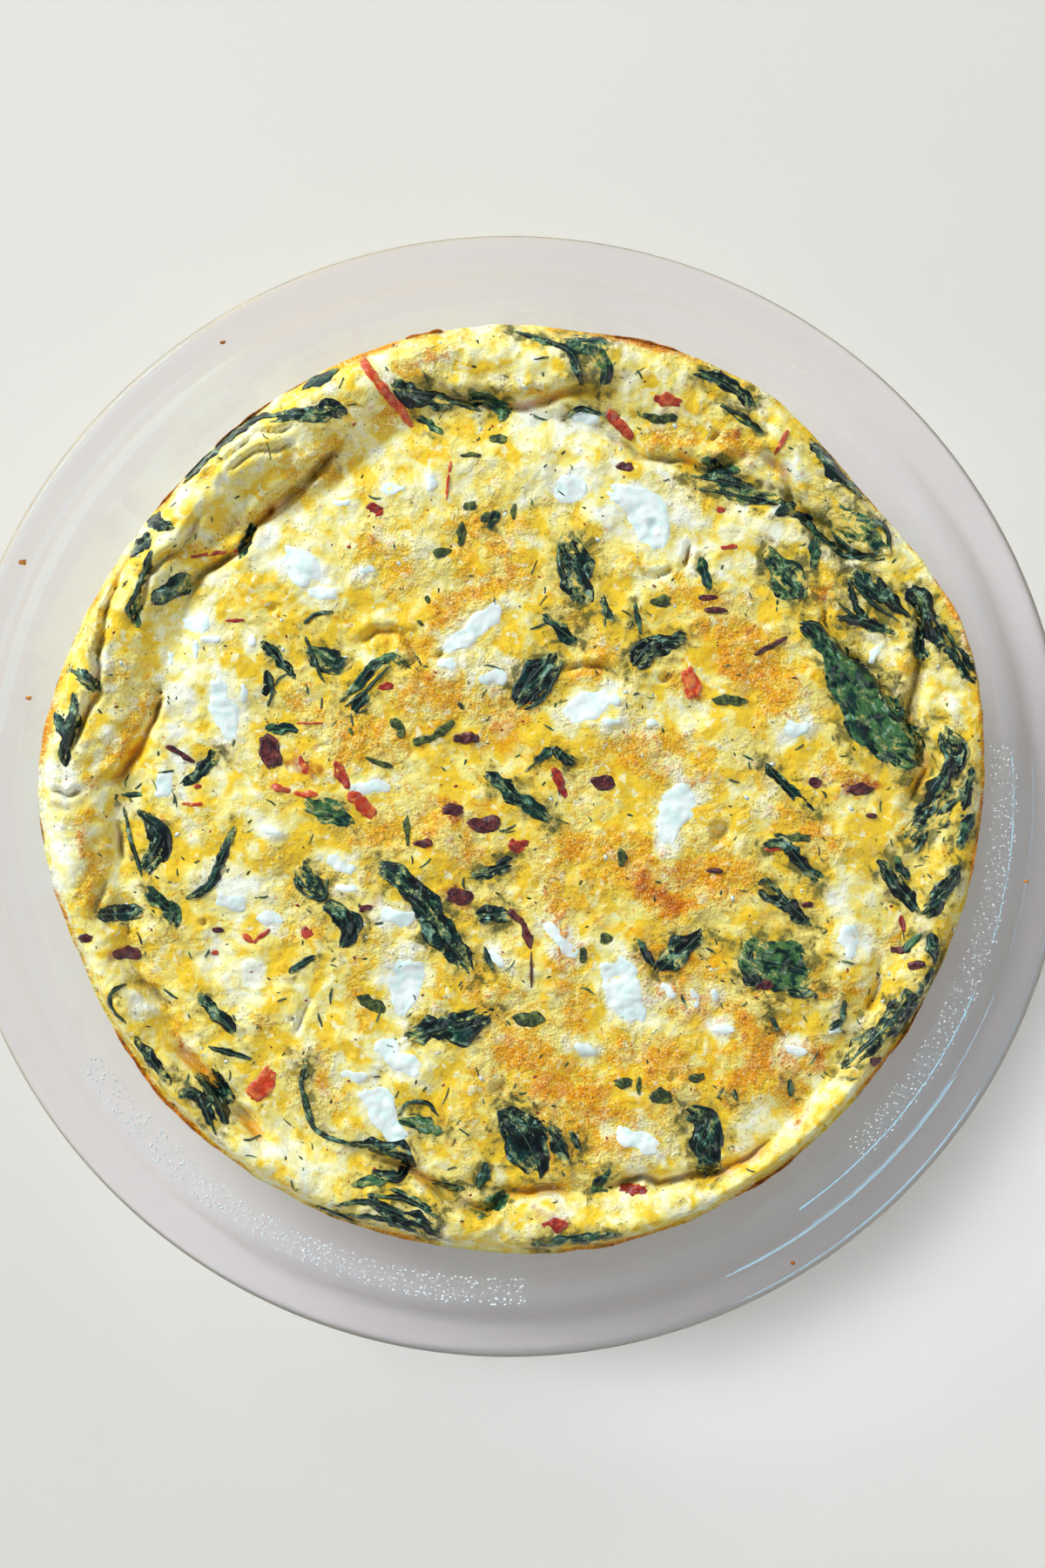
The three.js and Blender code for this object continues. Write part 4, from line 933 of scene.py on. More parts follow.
def tomato_material():
    look = Look("dried_tomato")
    mottle, grain = look.noise(2.4, 4, 0.7, 9), look.noise(0.6, 3, 0, 19)
    tone = look.value("tone")
    red = look.mix(paint(120, 12, 20), paint(208, 58, 18), tone)
    light = look.mix(paint(192, 58, 42), paint(236, 130, 70), tone)
    colour = look.mix(red, light, (mottle * 0.6 + grain * 0.4).step(0.42, 0.62))
    film = look.value("film") + (mottle - 0.5) * 2.8 + (grain - 0.5) * 0.8
    colour = look.mix(colour, paint(244, 180, 66), film.step(0.30, 0.95) * 0.8)
    shader = look.plain(
        Base_Color=colour, Roughness=grain * 0.25 + 0.2, Normal=look.bump(mottle + grain * 0.4, 0.7, 0.6),
        Coat_Weight=0.4, Coat_Roughness=0.15,
    )
    return look.finish(shader)


def speck_material(name, dark, light, roughness, rim):
    """A mottled material for herbs and dark pieces, with egg at the rim of each."""
    look = Look(name)
    mottle, grain = look.noise(1.6, 4, 0.6, 3), look.noise(0.5, 3, 0, 13)
    colour = look.mix(dark, light, (mottle * 0.6 + grain * 0.4).step(0.42, 0.64))
    film = look.value("film") + (mottle - 0.5) * 2.0 + (grain - 0.5) * 0.8
    colour = look.mix(colour, rim, film.step(0.45, 1.05) * 0.8)
    shader = look.plain(
        Base_Color=colour, Roughness=grain * 0.3 + roughness,
        Normal=look.bump(mottle + grain * 0.4, 0.5, 0.6),
        Coat_Weight=0.3, Coat_Roughness=0.2,
    )
    return look.finish(shader)


# %% [markdown]
# The glass is clear with a faint grey cast. Light that only passes on its way to a surface is let through
# straight, so that the filling's side and the floor below stay lit, as real glass lets light onto them.

# %% Glass and floor
def glass_material():
    """Clear glass with faint waves, which doesn't block the light to what lies behind it."""
    look = Look("clear_glass")
    waves = look.noise(26, 2, 0.2) * 0.8 + look.noise(7, 2, 1.2, 63) * 0.2
    glass = look.plain(
        Base_Color=paint(241, 240, 247), Roughness=0.0, Transmission_Weight=1.0, IOR=1.47,
        Specular_Tint=paint(120, 226, 255),
        Normal=look.bump(waves, 0.5, 0.22),
    )
    through = look.node("ShaderNodeBsdfTransparent", inputs={"Color": paint(238, 237, 240)})
    shadow = look.node("ShaderNodeLightPath", output="Is Shadow Ray")
    return look.finish(look.node("ShaderNodeMixShader", inputs={0: shadow, 1: glass, 2: through}))


def floor_material():
    look = Look("pale_floor")
    tone = look.mix(paint(226, 222, 216), paint(232, 229, 224), look.noise(120, 2))
    return look.finish(look.plain(Base_Color=tone, Roughness=0.9, Specular_IOR_Level=0.1))


egg_look, leaf_look = egg_material(), leaf_material()
cheese_look, tomato_look = cheese_material(), tomato_material()
dark_look = speck_material(
    "dark_olive_pieces", paint(52, 10, 26), paint(124, 58, 54), 0.2, paint(206, 140, 66))
herb_look = speck_material(
    "dried_herbs", paint(26, 44, 24), paint(104, 120, 52), 0.45, paint(178, 166, 72))
glass_look, floor_look = glass_material(), floor_material()
print(len(bpy.data.materials), "materials")

# %% [markdown]
# ## The baked egg
# The top is a square grid pressed into a circle, so its cells stay about 0.6 mm wide everywhere.
# Its side reaches just into the glass, so no air shows between them.

# %% Egg mesh
GRID = 291
WALL_REACH = 0.15


def wall_radius(z):
    """Distance of the glass's inner wall from the axis at a height."""
    return WALL_TOP_RADIUS - math.tan(LEAN) * (WALL_TOP_HEIGHT - z)


def disc_grid(count):
    """A square grid pressed into the unit circle."""
    a, b = np.meshgrid(np.linspace(-1, 1, count), np.linspace(-1, 1, count), indexing="ij")
    wide = a * a > b * b
    safe_a, safe_b = np.where(a == 0, 1, a), np.where(b == 0, 1, b)
    radius = np.where(wide, a, b)
    angle = np.where(wide, np.pi / 4 * b / safe_a, np.pi / 2 - np.pi / 4 * a / safe_b)
    return radius * np.cos(angle), radius * np.sin(angle)


leaf_forms = [pixel_form(form) for form in LEAF_FORMS]
green_forms = bit_forms(GREEN_BITS)
stroke_forms = [stroke_form(width, line) for width, line in LEAF_STROKES]
cheese_forms = [pixel_form(form) for form in CHEESE_FORMS] + curd_forms


def spread(x, y, forms, reach):
    """1 at the pieces, falling to 0 at a distance in millimetres."""
    nearest = np.full(np.shape(x), FAR)
    for form in forms:
        nearest = np.minimum(nearest, form_distance(x, y, form))
    return 1 - smoothstep(nearest, 0, reach)


def patches(x, y, rows):
    """The strongest of some soft-edged patches at each point."""
    wx = x + 2.2 * noise(x, y, 7, 6) + 0.9 * noise(x, y, 2.6, 9)
    wy = y + 2.2 * noise(x, y, 7, 10) + 0.9 * noise(x, y, 2.6, 11)
    strongest = np.zeros_like(x)
    for strength, x0, y0, x1, y1, width in rows:
        d = form_distance(wx, wy, end_form(x0, y0, x1, y1, width))
        soft = 1.2 + 0.35 * width / PX_PER_MM
        strongest = np.maximum(strongest, strength * (1 - smoothstep(d, -soft, soft)))
    return strongest


def egg_values(x, y):
    """Named values that the egg's material reads."""
    share, angle, radius = rim_share(x, y), np.arctan2(y, x), np.hypot(x, y)
    edge = 1 - smoothstep(share, 0.0, 0.10)
    brown = patches(x, y, BROWNED)
    brown = brown + 0.2 * np.clip(rough_noise(x, y, 16, 3, 2), -0.4, 1)
    brown = brown + 0.16 * (1 - smoothstep(radius, 40, 68))
    # The last term is painted light: there is less browning towards the left, so that side of the rim stays
    # lighter.
    brown = brown + 1.1 * edge * (0.55 + 0.9 * noise(50 * angle, 0 * x, 9, 1)) - 0.12 * smoothstep(-x, 10, 60)
    # How near each point lies to a crease, which the material uses for its painted shade.
    crease = np.zeros_like(x)
    for depth, width, line in CREASE_LINES:
        d, _, opened = line_side(x, y, line)
        crease = np.maximum(crease, 0.6 * depth * opened * np.exp(-((d / width) ** 2)))
    pale = np.maximum(patches(x, y, PALE), 0.75 * spread(x, y, cheese_forms, 3.0))
    crest = np.exp(-(((share - CREST_POSITION) / 0.2) ** 2))
    pale = np.maximum(pale, crest * (0.44 + 0.3 * noise(x, y, 12, 6)))
    outside = smoothstep(radius, 76, 86)
    pale = np.maximum(pale, outside * (0.34 + 0.5 * noise(x, y, 9, 3)) - 0.3 * brown)
    leafy = spread(x, y, leaf_forms + green_forms + stroke_forms, 4.6)
    # Painted light: there is less green stain towards the upper left and the left, so that side of the rim
    # stays lighter.
    leafy = leafy * (1 - 0.45 * smoothstep(y - x, 95, 125)) * (1 - 0.3 * smoothstep(-x, 0, 50))
    return {"brown": brown, "crease": crease, "leafy": leafy, "pale": pale, "stain": patches(x, y, STAINS)}


def egg_mesh():
    """Points and faces of the egg: its top, its side in rings, and a fan underneath."""
    u, v = disc_grid(GRID)
    angle, part = np.arctan2(v, u), np.hypot(u, v)
    wobble = 0.35 * noise(40 * np.cos(angle), 40 * np.sin(angle), 2.2, 7)
    wobble = wobble + 0.25 * noise(60 * angle, 0 * angle, 9, 2)
    rim_z = edge_height(angle) + wobble
    rim_r = wall_radius(rim_z) + WALL_REACH
    x, y = part * rim_r * np.cos(angle), part * rim_r * np.sin(angle)
    blend = smoothstep(part, 0.975, 1.0)
    top = np.stack([x, y, surface(x, y) * (1 - blend) + rim_z * blend], -1).reshape(-1, 3)
    quads, border = grid_faces(GRID, GRID)
    border_x, border_y, border_z = top[border].T
    turn = np.arctan2(border_y, border_x)
    corner_top = CORNER_Z + INNER_CORNER * math.sin(-LEAN)
    rings = []
    for share in (0.33, 0.66, 1.0):
        height = border_z + (corner_top - border_z) * share
        rings.append((wall_radius(height) + WALL_REACH, height))
    for degrees in (-55, -72, -90):
        cos, sin = direction(degrees)
        reach = INNER_CORNER + WALL_REACH
        rings.append((np.full_like(turn, CORNER_R + reach * cos), np.full_like(turn, CORNER_Z + reach * sin)))
    points, faces, last = [top], [quads], border
    for radius, height in rings:
        ring = sum(len(p) for p in points) + np.arange(len(turn))
        points.append(on_circle(radius, turn, height))
        faces.append(np.stack([last, ring, np.roll(ring, -1), np.roll(last, -1)], -1))
        last = ring
    middle = sum(len(p) for p in points)
    points.append([[0, 0, GLASS - WALL_REACH]])
    fan = np.stack([last, np.full_like(last, middle), np.roll(last, -1)], -1)
    return np.concatenate(points), np.concatenate(faces).tolist() + fan.tolist()


egg_points, egg_faces = egg_mesh()
values = egg_values(egg_points[:, 0], egg_points[:, 1])
egg = new_piece("baked_egg", egg_points, egg_faces, egg_look, values)
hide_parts("egg_filling")
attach(egg, "root")
print("egg faces", len(egg_faces), "highest", round(float(egg_points[:, 2].max()), 2), "mm")

# %% [markdown]
# ## Leaves, cheese and tomato
# A cooked leaf is a thin crumpled sheet that dips in and out of the egg. Its edge wanders, and its rim
# bends down. Cheese and tomato are lumps that stand up from the egg.

# %% Thin and thick pieces on the surface
def along_form(form, s):
    """Places, directions and widths at shares s of a smooth line through a form's places."""
    points = np.array(form, float)
    steps = np.hypot(*np.diff(points[:, :2], axis=0).T)
    knots = np.concatenate([[0], np.cumsum(steps)]) / steps.sum()
    padded = np.vstack([2 * points[0] - points[1], points, 2 * points[-1] - points[-2]])
    i = np.clip(np.searchsorted(knots, s, side="right") - 1, 0, len(steps) - 1)
    f = ((s - knots[i]) / (knots[i + 1] - knots[i]))[..., None]
    a, b, c, d = (padded[i + k] for k in range(4))
    place = curve(a, b, c, d, f)
    slope = (0.5 * (c - a) + f * (2 * a - 5 * b + 4 * c - d) + 1.5 * f * f * (3 * (b - c) + d - a))[..., :2]
    slope = slope / np.maximum(np.hypot(slope[..., 0], slope[..., 1]), 1e-9)[..., None]
    return place[..., :2], slope, np.maximum(place[..., 2], 0.2 * points[:, 2].min()), steps.sum()


WIDE_EDGE = 5.5
CLEAR_OF_GLASS = 0.25
STREAK_MM = 3.2


def piece_grid(form, seed, step, ragged, wander):
    """Plan places of a piece on a grid, with its shares along and across and its place across."""
    width = max(point[2] for point in form)
    length = along_form(form, np.zeros(1))[3]
    n, m = max(7, round(length / step)), max(5, round(width / step) | 1)
    s, t = np.meshgrid(np.linspace(0, 1, n), np.linspace(-1, 1, m), indexing="ij")
    place, slope, wide, _ = along_form(form, s)
    end = np.clip((np.abs(2 * s - 1) - 0.84) / 0.16, 0, 1)
    half = 0.5 * wide * (0.25 + 0.75 * np.sqrt(1 - end * end))
    shift, uneven = 7.3 * seed, ragged * min(1.0, WIDE_EDGE / width)
    for side, sign in ((5, 1), (9, -1)):
        notches = rough_noise(s * length + shift, 0 * s + 11.0 * side, max(2.4, 0.8 * width), 2, seed)
        half = np.where(t * sign > 0, half * (1 + uneven * notches), half)
    c = wander * width * noise(s * length + shift, 0 * s + 3.1, 4.5, seed + 3) + t * half
    tip = noise(t * width + shift, 5 * np.round(s), max(3.0, 0.5 * width), seed + 5) * np.abs(2 * s - 1) ** 3
    tip = min(0.2 * width, 1.3) * tip
    x = place[..., 0] + tip * slope[..., 0] - c * slope[..., 1]
    y = place[..., 1] + tip * slope[..., 1] + c * slope[..., 0]
    return x, y, s, t, c, length, width


def on_both_sides(along, across, **values):
    """Named values for the top and the underside of a piece."""
    values = {"along": along / STREAK_MM, "across": across / STREAK_MM, **values}
    return {name: np.tile(np.broadcast_to(value, along.shape).ravel(), 2) for name, value in values.items()}


def leaf_mesh(form, seed, step=0.42, lift=0.25, crumple=0.6, thickness=0.35, tone=None, filmed=0.0):
    """A crumpled sheet with its values for the material."""
    x, y, s, t, c, length, width = piece_grid(form, seed, step, 0.6, 0.1)
    folds = 0.6 - 2.2 * np.abs(noise(0.3 * s * length + 5 * seed, c, 1.7, seed))
    waves = 0.7 * noise(x, y + 5 * seed, 4.6, seed + 1)
    rim = smoothstep(np.abs(t), 0.66, 1.0) * 0.75 + smoothstep(np.abs(2 * s - 1), 0.86, 1.0) * 0.5
    crumpled = np.maximum(lift + crumple * (0.6 * folds + waves) * min(1, width / 5), 0.1)
    sinking = (0.8 if width < 7 else 0.3) * smoothstep(noise(x, y + 3 * seed, 9, seed + 2), 0.15, 0.75)
    offset = crumpled - rim - sinking * np.abs(2 * s - 1)
    z = surface(x, y) + np.maximum(offset, -0.7)
    inside = np.minimum(1, (wall_radius(z) - CLEAR_OF_GLASS) / np.maximum(np.hypot(x, y), 1))
    x, y = inside * x, inside * y
    top = np.stack([x, y, z], -1)
    under = np.stack([x, y, z - thickness - 0.1 * (1 - t * t)], -1)
    points, faces = closed_sheet(top, under)
    film = filmed + 0.14 + 0.4 * np.clip(0.3 - offset, 0, 1) + 0.35 * np.abs(2 * s - 1) ** 3
    if tone is None:
        tone = np.random.default_rng(seed).random() ** 2
    edge = smoothstep(np.abs(t), 0.6, 1.0)
    return points, faces, on_both_sides(s * length, c, film=film, tone=tone, edge=edge)


def lump_mesh(form, seed, step=0.45, height=1.0, ragged=0.22, sunk=0.45, folds=0.12, tone=None):
    """A bumpy lump with its values for the material."""
    x, y, s, t, c, length, width = piece_grid(form, seed, step, ragged, 0.05)
    dome = 1 - np.maximum(smoothstep(np.abs(t), 0.55, 1.0), smoothstep(np.abs(2 * s - 1), 0.75, 1.0))
    bumps = rough_noise(x, y, 2.8, 3, seed) - np.abs(noise(x, y + 9 * seed, 3.6, seed + 4))
    bumps = folds * height * bumps
    z = surface(x, y) - sunk + height * dome + bumps * dome
    top = np.stack([x, y, z], -1)
    under = np.stack([x, y, surface(x, y) - sunk - 0.35 - 0.2 * dome], -1)
    points, faces = closed_sheet(top, under)
    if tone is None:
        tone = np.random.default_rng(seed).random()
    return points, faces, on_both_sides(s * length, c, film=np.clip(1.1 - 1.2 * dome, 0, 1), tone=tone)


def add_toppings(forms, title, make):
    """One piece for each loose topping, from its form, look and seed."""
    for i, form in enumerate(forms):
        node = f"{title}_{i + 1:02d}"
        points, faces, floats, look = make(pixel_form(form), i + 1)
        piece = new_piece(f"{node}_baked", points, faces, look, floats)
        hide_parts(node)
        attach(piece, "root")


# The largest leaf and the square one are greener than the rest, and some lie under a film of egg.
LEAF_TONES = {
    5: 1.0, 7: 0.6, 10: 1.0, 11: 0.8, 12: 0.4, 14: 0.3, 15: 0.9, 21: 1.0, 27: 0.6, 28: 0.9, 36: 0.2, 38: 0.5,
    39: 0.3,
}
LEAF_FILMS = {
    5: 0.4, 7: 0.2, 10: 0.5, 11: 0.25, 13: 0.2, 16: 0.3, 17: 0.5, 18: 0.3, 19: 0.3, 20: 0.3, 21: 0.05,
    27: 0.15, 41: 0.1, 42: 0.45,
}
CHEESE_WIDER = 1.12
add_toppings(LEAF_FORMS, "spinach_leaf", lambda form, seed: (
    *leaf_mesh(form, seed, tone=LEAF_TONES.get(seed), filmed=LEAF_FILMS.get(seed, 0)), leaf_look))
add_toppings(CHEESE_FORMS, "white_cheese", lambda form, seed: (
    *lump_mesh([(x, y, CHEESE_WIDER * w) for x, y, w in form], seed,
               height=0.5, ragged=0.62, sunk=0.30, folds=0.3), cheese_look))
# The third tomato is dried almost black.
TOMATO_TONES = {1: 0.9, 2: 0.4, 3: 0.0, 4: 1.0, 5: 0.9}
add_toppings(TOMATO_FORMS, "dried_tomato", lambda form, seed: (
    *lump_mesh(form, seed + 50, height=0.85, ragged=0.4, sunk=0.35, folds=0.4, tone=TOMATO_TONES[seed]),
    dark_look if seed == 3 else tomato_look))

# %% [markdown]
# Small pieces of one kind are joined in one mesh, each with its own seeded outline.


# %% Small pieces
def add_bits(name, rows, look, make, seed):
    """One mesh that joins small pieces of a kind, each made from its row and a seed of its own."""
    points, faces, floats, start = [], [], {}, 0
    for i, row in enumerate(rows):
        p, f, values = make(row, seed + i)
        points.append(p)
        faces.append(f + start)
        start += len(p)
        for key, value in values.items():
            floats.setdefault(key, []).append(value)
    joined = {key: np.concatenate(value) for key, value in floats.items()}
    piece = new_piece(name, np.concatenate(points), np.concatenate(faces).tolist(), look, joined)
    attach(piece, "root")
    print(name, len(rows), "pieces,", len(piece.data.polygons), "faces")
    return piece


thin_bit = partial(leaf_mesh, step=0.4, lift=0.25, crumple=0.45, thickness=0.3)
folded_edge = partial(leaf_mesh, step=0.36, lift=0.45, crumple=0.3, thickness=0.5, tone=0.1)
shred = partial(leaf_mesh, step=0.42, lift=0.16, crumple=0.2, thickness=0.3)
small_curd = partial(lump_mesh, step=0.5, height=0.46, ragged=0.7, sunk=0.32, folds=0.3)
tomato_bit = partial(lump_mesh, step=0.4, height=0.55, ragged=0.6, sunk=0.28, folds=0.5)
dark_bit = partial(lump_mesh, step=0.4, height=0.7, ragged=0.5, sunk=0.28, folds=0.4)


add_bits("small_leaves", bit_forms(GREEN_BITS, 1.2), leaf_look, thin_bit, 100)
add_bits("folded_leaf_edges", stroke_forms, leaf_look, folded_edge, 200)


def shred_forms(count, seed):
    """Short bent shreds of leaf, most of them close to the larger leaves."""
    draw = np.random.default_rng(seed)
    turn, part, chance = draw.random((3, 12 * count))
    radius = 97 * np.sqrt(part)
    x, y = radius * np.cos(2 * np.pi * turn), radius * np.sin(2 * np.pi * turn)
    close = spread(x, y, leaf_forms + stroke_forms, 11)
    kept = np.flatnonzero((chance < 0.05 + 0.5 * close) & (close < 0.97))[:count]
    forms = []
    for i in kept:
        along_rim = math.degrees(2 * np.pi * turn[i]) + 90
        way = along_rim + 70 * draw.normal() if radius[i] > 70 else 360 * draw.random()
        length = 1.3 + 3.4 * draw.random() ** 2
        width, bend = 0.4 + 0.16 * length * draw.random(), 0.09 * length * draw.normal()
        forms.append(row_form((x[i], y[i], length, width, way, bend, 0.5)))
    return forms


add_bits("leaf_shreds", shred_forms(240, 31), leaf_look, shred, 800)
add_bits("herb_flakes", bit_forms(OLIVE_BITS, 0.95), herb_look, thin_bit, 300)
add_bits("small_curds", bit_forms(CURDS), cheese_look, small_curd, 400)
add_bits("tomato_bits", bit_forms(TOMATO_BITS), tomato_look, tomato_bit, 500)
add_bits("dark_bits", bit_forms(DARK_BITS), dark_look, dark_bit, 600)

# %% [markdown]
# ## The glass dish
# The dish is one profile turned about its axis. Geometry nodes turn it: a grid has one row for each profile
# point, and every grid point takes its distance and height from the profile and its angle from its column.

# %% Profile of the glass
def arc(radius, start, end, steps, centre=(CORNER_R, CORNER_Z)):
    """Points of an arc from one angle in degrees to another."""
    angles = np.radians(np.linspace(start, end, steps + 1))
    return [(centre[0] + radius * math.cos(a), centre[1] + radius * math.sin(a)) for a in angles]


def dish_profile():
    """Distances and heights around the glass's section, from the axis out, up, in and back to the axis."""
    lean = -math.degrees(LEAN)
    lip = (RIM_RADIUS - RIM_ROUND, DISH_HEIGHT - RIM_ROUND)
    below = DISH_HEIGHT - 2 * RIM_ROUND
    outer = WALL_TOP_RADIUS + GLASS / math.cos(LEAN)
    turn_radius = 9
    turn_low = (WALL_TOP_RADIUS - 2.2, WALL_TOP_HEIGHT - 2.2 / math.tan(LEAN))
    turn_middle = (turn_low[0] + turn_radius * math.cos(LEAN), turn_low[1] - turn_radius * math.sin(LEAN))
    steep = 180 - math.degrees(LEAN)
    inner_turn = arc(turn_radius, 97, steep, 9, turn_middle)
    return ([(0, 0), (40, 0)] + arc(INNER_CORNER + GLASS, -90, lean, 10)
            + [(outer - 3.4, below - 1.8), (outer - 2.3, below - 0.9), (outer - 1, below - 0.4)]
            + arc(RIM_ROUND, -85, 90, 12, lip) + inner_turn + arc(INNER_CORNER, lean, -90, 10)
            + [(40, GLASS), (0, GLASS)])


# %% Geometry nodes that turn a profile about the axis
class Tree:
    """A geometry node tree that is built in the script."""

    def __init__(self, name, inputs):
        self.tree = bpy.data.node_groups.new(name, "GeometryNodeTree")
        sockets = self.tree.interface
        sockets.new_socket("Geometry", in_out="OUTPUT", socket_type="NodeSocketGeometry")
        self.ids = {}
        for title, kind in inputs.items():
            socket = sockets.new_socket(title, in_out="INPUT", socket_type="NodeSocket" + kind)
            self.ids[title] = socket.identifier
        self.source = self.tree.nodes.new("NodeGroupInput")

    def given(self, title):
        return self.source.outputs[title]

    def node(self, kind, settings=None, inputs=None, output=0):
        made = self.tree.nodes.new(kind)
        for key, value in (settings or {}).items():
            setattr(made, key, value)
        for key, value in (inputs or {}).items():
            if isinstance(value, bpy.types.NodeSocket):
                self.tree.links.new(value, made.inputs[key])
            else:
                made.inputs[key].default_value = value
        return made.outputs[output]

    def math(self, operation, first, second=0.0):
        return self.node("ShaderNodeMath", {"operation": operation}, {0: first, 1: second})

    def finish(self, geometry):
        """Gives the geometry its material and ends the tree."""
        done = self.node("GeometryNodeSetMaterial", inputs={
            "Geometry": geometry, "Material": self.given("Material")})
        end = self.tree.nodes.new("NodeGroupOutput")
        self.tree.links.new(done, end.inputs["Geometry"])

    def apply(self, name, mesh, values):
        """A plain mesh object that the tree makes from a mesh and named values."""
        holder = bpy.data.objects.new(name + "_source", mesh)
        bpy.context.scene.collection.objects.link(holder)
        modifier = holder.modifiers.new("nodes", "NODES")
        modifier.node_group = self.tree
        for title, value in values.items():
            modifier[self.ids[title]] = value
        made = bpy.data.meshes.new_from_object(holder.evaluated_get(bpy.context.evaluated_depsgraph_get()))
        holder.modifiers.clear()
        bpy.data.objects.remove(holder)
        made.name = name
        piece = bpy.data.objects.new(name, made)
        bpy.context.scene.collection.objects.link(piece)
        return piece


def turning_tree():
    tree = Tree("turned_profile", {
        "Geometry": "Geometry", "Profile Points": "Int", "Segments": "Int", "Material": "Material",
    })
    columns = tree.math("ADD", tree.given("Segments"), 1)
    grid = tree.node("GeometryNodeMeshGrid", inputs={
        "Vertices X": columns, "Vertices Y": tree.given("Profile Points")})
    index = tree.node("GeometryNodeInputIndex")
    row = tree.math("FLOORED_MODULO", index, tree.given("Profile Points"))
    column = tree.math("FLOOR", tree.math("DIVIDE", index, tree.given("Profile Points")))
    place = tree.node("GeometryNodeInputPosition")
    found = tree.node("GeometryNodeSampleIndex", {"data_type": "FLOAT_VECTOR"},
                      {"Geometry": tree.given("Geometry"), "Value": place, "Index": row})
    parts = tree.tree.nodes.new("ShaderNodeSeparateXYZ")
    tree.tree.links.new(found, parts.inputs[0])
    turned = tree.math("FLOORED_MODULO", column, tree.given("Segments"))
    angle = tree.math("MULTIPLY", tree.math("DIVIDE", turned, tree.given("Segments")), 2 * math.pi)
    x = tree.math("MULTIPLY", parts.outputs["X"], tree.math("COSINE", angle))
    y = tree.math("MULTIPLY", parts.outputs["X"], tree.math("SINE", angle))
    target = tree.node("ShaderNodeCombineXYZ", inputs={"X": x, "Y": y, "Z": parts.outputs["Z"]})
    moved = tree.node("GeometryNodeSetPosition", inputs={"Geometry": grid, "Position": target})
    merged = tree.node("GeometryNodeMergeByDistance", inputs={"Geometry": moved, "Distance": 1e-6})
    smooth = tree.node("GeometryNodeSetShadeSmooth", inputs={"Geometry": merged, "Shade Smooth": True})
    real = tree.node("GeometryNodeRealizeInstances", inputs={"Geometry": smooth})
    tree.finish(real)
    return tree


def outward(piece):
    """Turns every face outwards and drops faces that closed up."""
    work = bmesh.new()
    work.from_mesh(piece.data)
    bmesh.ops.dissolve_degenerate(work, dist=1e-7, edges=work.edges)
    bmesh.ops.recalc_face_normals(work, faces=work.faces)
    work.to_mesh(piece.data)
    work.free()
    piece.data.polygons.foreach_set("use_smooth", [True] * len(piece.data.polygons))


# %% [markdown]
# Dried herbs, pepper and tiny curds are scattered by geometry nodes: seeded points on the egg's top carry
# a small flattened form each, turned and sized at random. They are real geometry, one mesh for each kind.


# %% Geometry nodes that scatter small forms on a surface
def scattering_tree():
    tree = Tree("scattered_forms", {
        "Geometry": "Geometry", "Density": "Float", "Seed": "Int", "Smallest": "Float", "Largest": "Float",
        "Form": "Vector", "Lowest": "Float", "Material": "Material",
    })
    height = tree.tree.nodes.new("ShaderNodeSeparateXYZ")
    tree.tree.links.new(tree.node("GeometryNodeInputPosition"), height.inputs[0])
    chosen = tree.node("FunctionNodeCompare", {"data_type": "FLOAT", "operation": "GREATER_THAN"},
                       {0: height.outputs["Z"], 1: tree.given("Lowest")})
    points = tree.tree.nodes.new("GeometryNodeDistributePointsOnFaces")
    tree.tree.links.new(tree.given("Geometry"), points.inputs["Mesh"])
    tree.tree.links.new(chosen, points.inputs["Selection"])
    tree.tree.links.new(tree.given("Density"), points.inputs["Density"])
    tree.tree.links.new(tree.given("Seed"), points.inputs["Seed"])
    ball = tree.node("GeometryNodeMeshIcoSphere", inputs={"Radius": 1.0, "Subdivisions": 1})
    form = tree.node("GeometryNodeTransform", inputs={"Geometry": ball, "Scale": tree.given("Form")})
    turn = tree.node("FunctionNodeRandomValue", {"data_type": "FLOAT"},
                     {2: 0.0, 3: 2 * math.pi, "Seed": tree.given("Seed")}, output=1)
    about = tree.node("FunctionNodeAxisAngleToRotation", inputs={"Axis": (0, 0, 1), "Angle": turn})
    turned = tree.node("FunctionNodeRotateRotation", {"rotation_space": "LOCAL"},
                       {0: points.outputs["Rotation"], 1: about})
    size = tree.node("FunctionNodeRandomValue", {"data_type": "FLOAT"}, {
        2: tree.given("Smallest"), 3: tree.given("Largest"), "Seed": tree.given("Seed")}, output=1)
    laid = tree.node("GeometryNodeInstanceOnPoints", inputs={
        "Points": points.outputs["Points"], "Instance": form, "Rotation": turned, "Scale": size})
    real = tree.node("GeometryNodeRealizeInstances", inputs={"Geometry": laid})
    smooth = tree.node("GeometryNodeSetShadeSmooth", inputs={"Geometry": real, "Shade Smooth": True})
    tree.finish(smooth)
    return tree


scattering = scattering_tree()
EGG_TOP = 0.0205
# Name, slot, material, points in a square metre, smallest and largest in metres, form, seed
SCATTERS = [
    ("herb_flecks", "spinach", herb_look, 6500, 0.0002, 0.00085, (1, 0.42, 0.16), 3),
    ("pepper_grains", "tomato", dark_look, 4000, 0.00012, 0.0003, (1, 0.8, 0.5), 5),
    ("tiny_curds", "cheese", cheese_look, 2500, 0.0003, 0.0009, (1, 0.6, 0.05), 7),
    ("tomato_flecks", "tomato", tomato_look, 3500, 0.0002, 0.0006, (1, 0.6, 0.3), 9),
]


def scatter(name, mesh, slot, look, density, smallest, largest, form, seed, lowest=EGG_TOP):
    """Small forms at random places of a mesh, as one plain mesh."""
    piece = scattering.apply(name, mesh, {
        "Density": float(density), "Seed": seed, "Smallest": smallest, "Largest": largest,
        "Form": form, "Lowest": lowest, "Material": look})
    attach(piece, "root")
    print(name, len(piece.data.polygons), "faces")


for name, *rest in SCATTERS:
    scatter(name, egg.data, *rest)

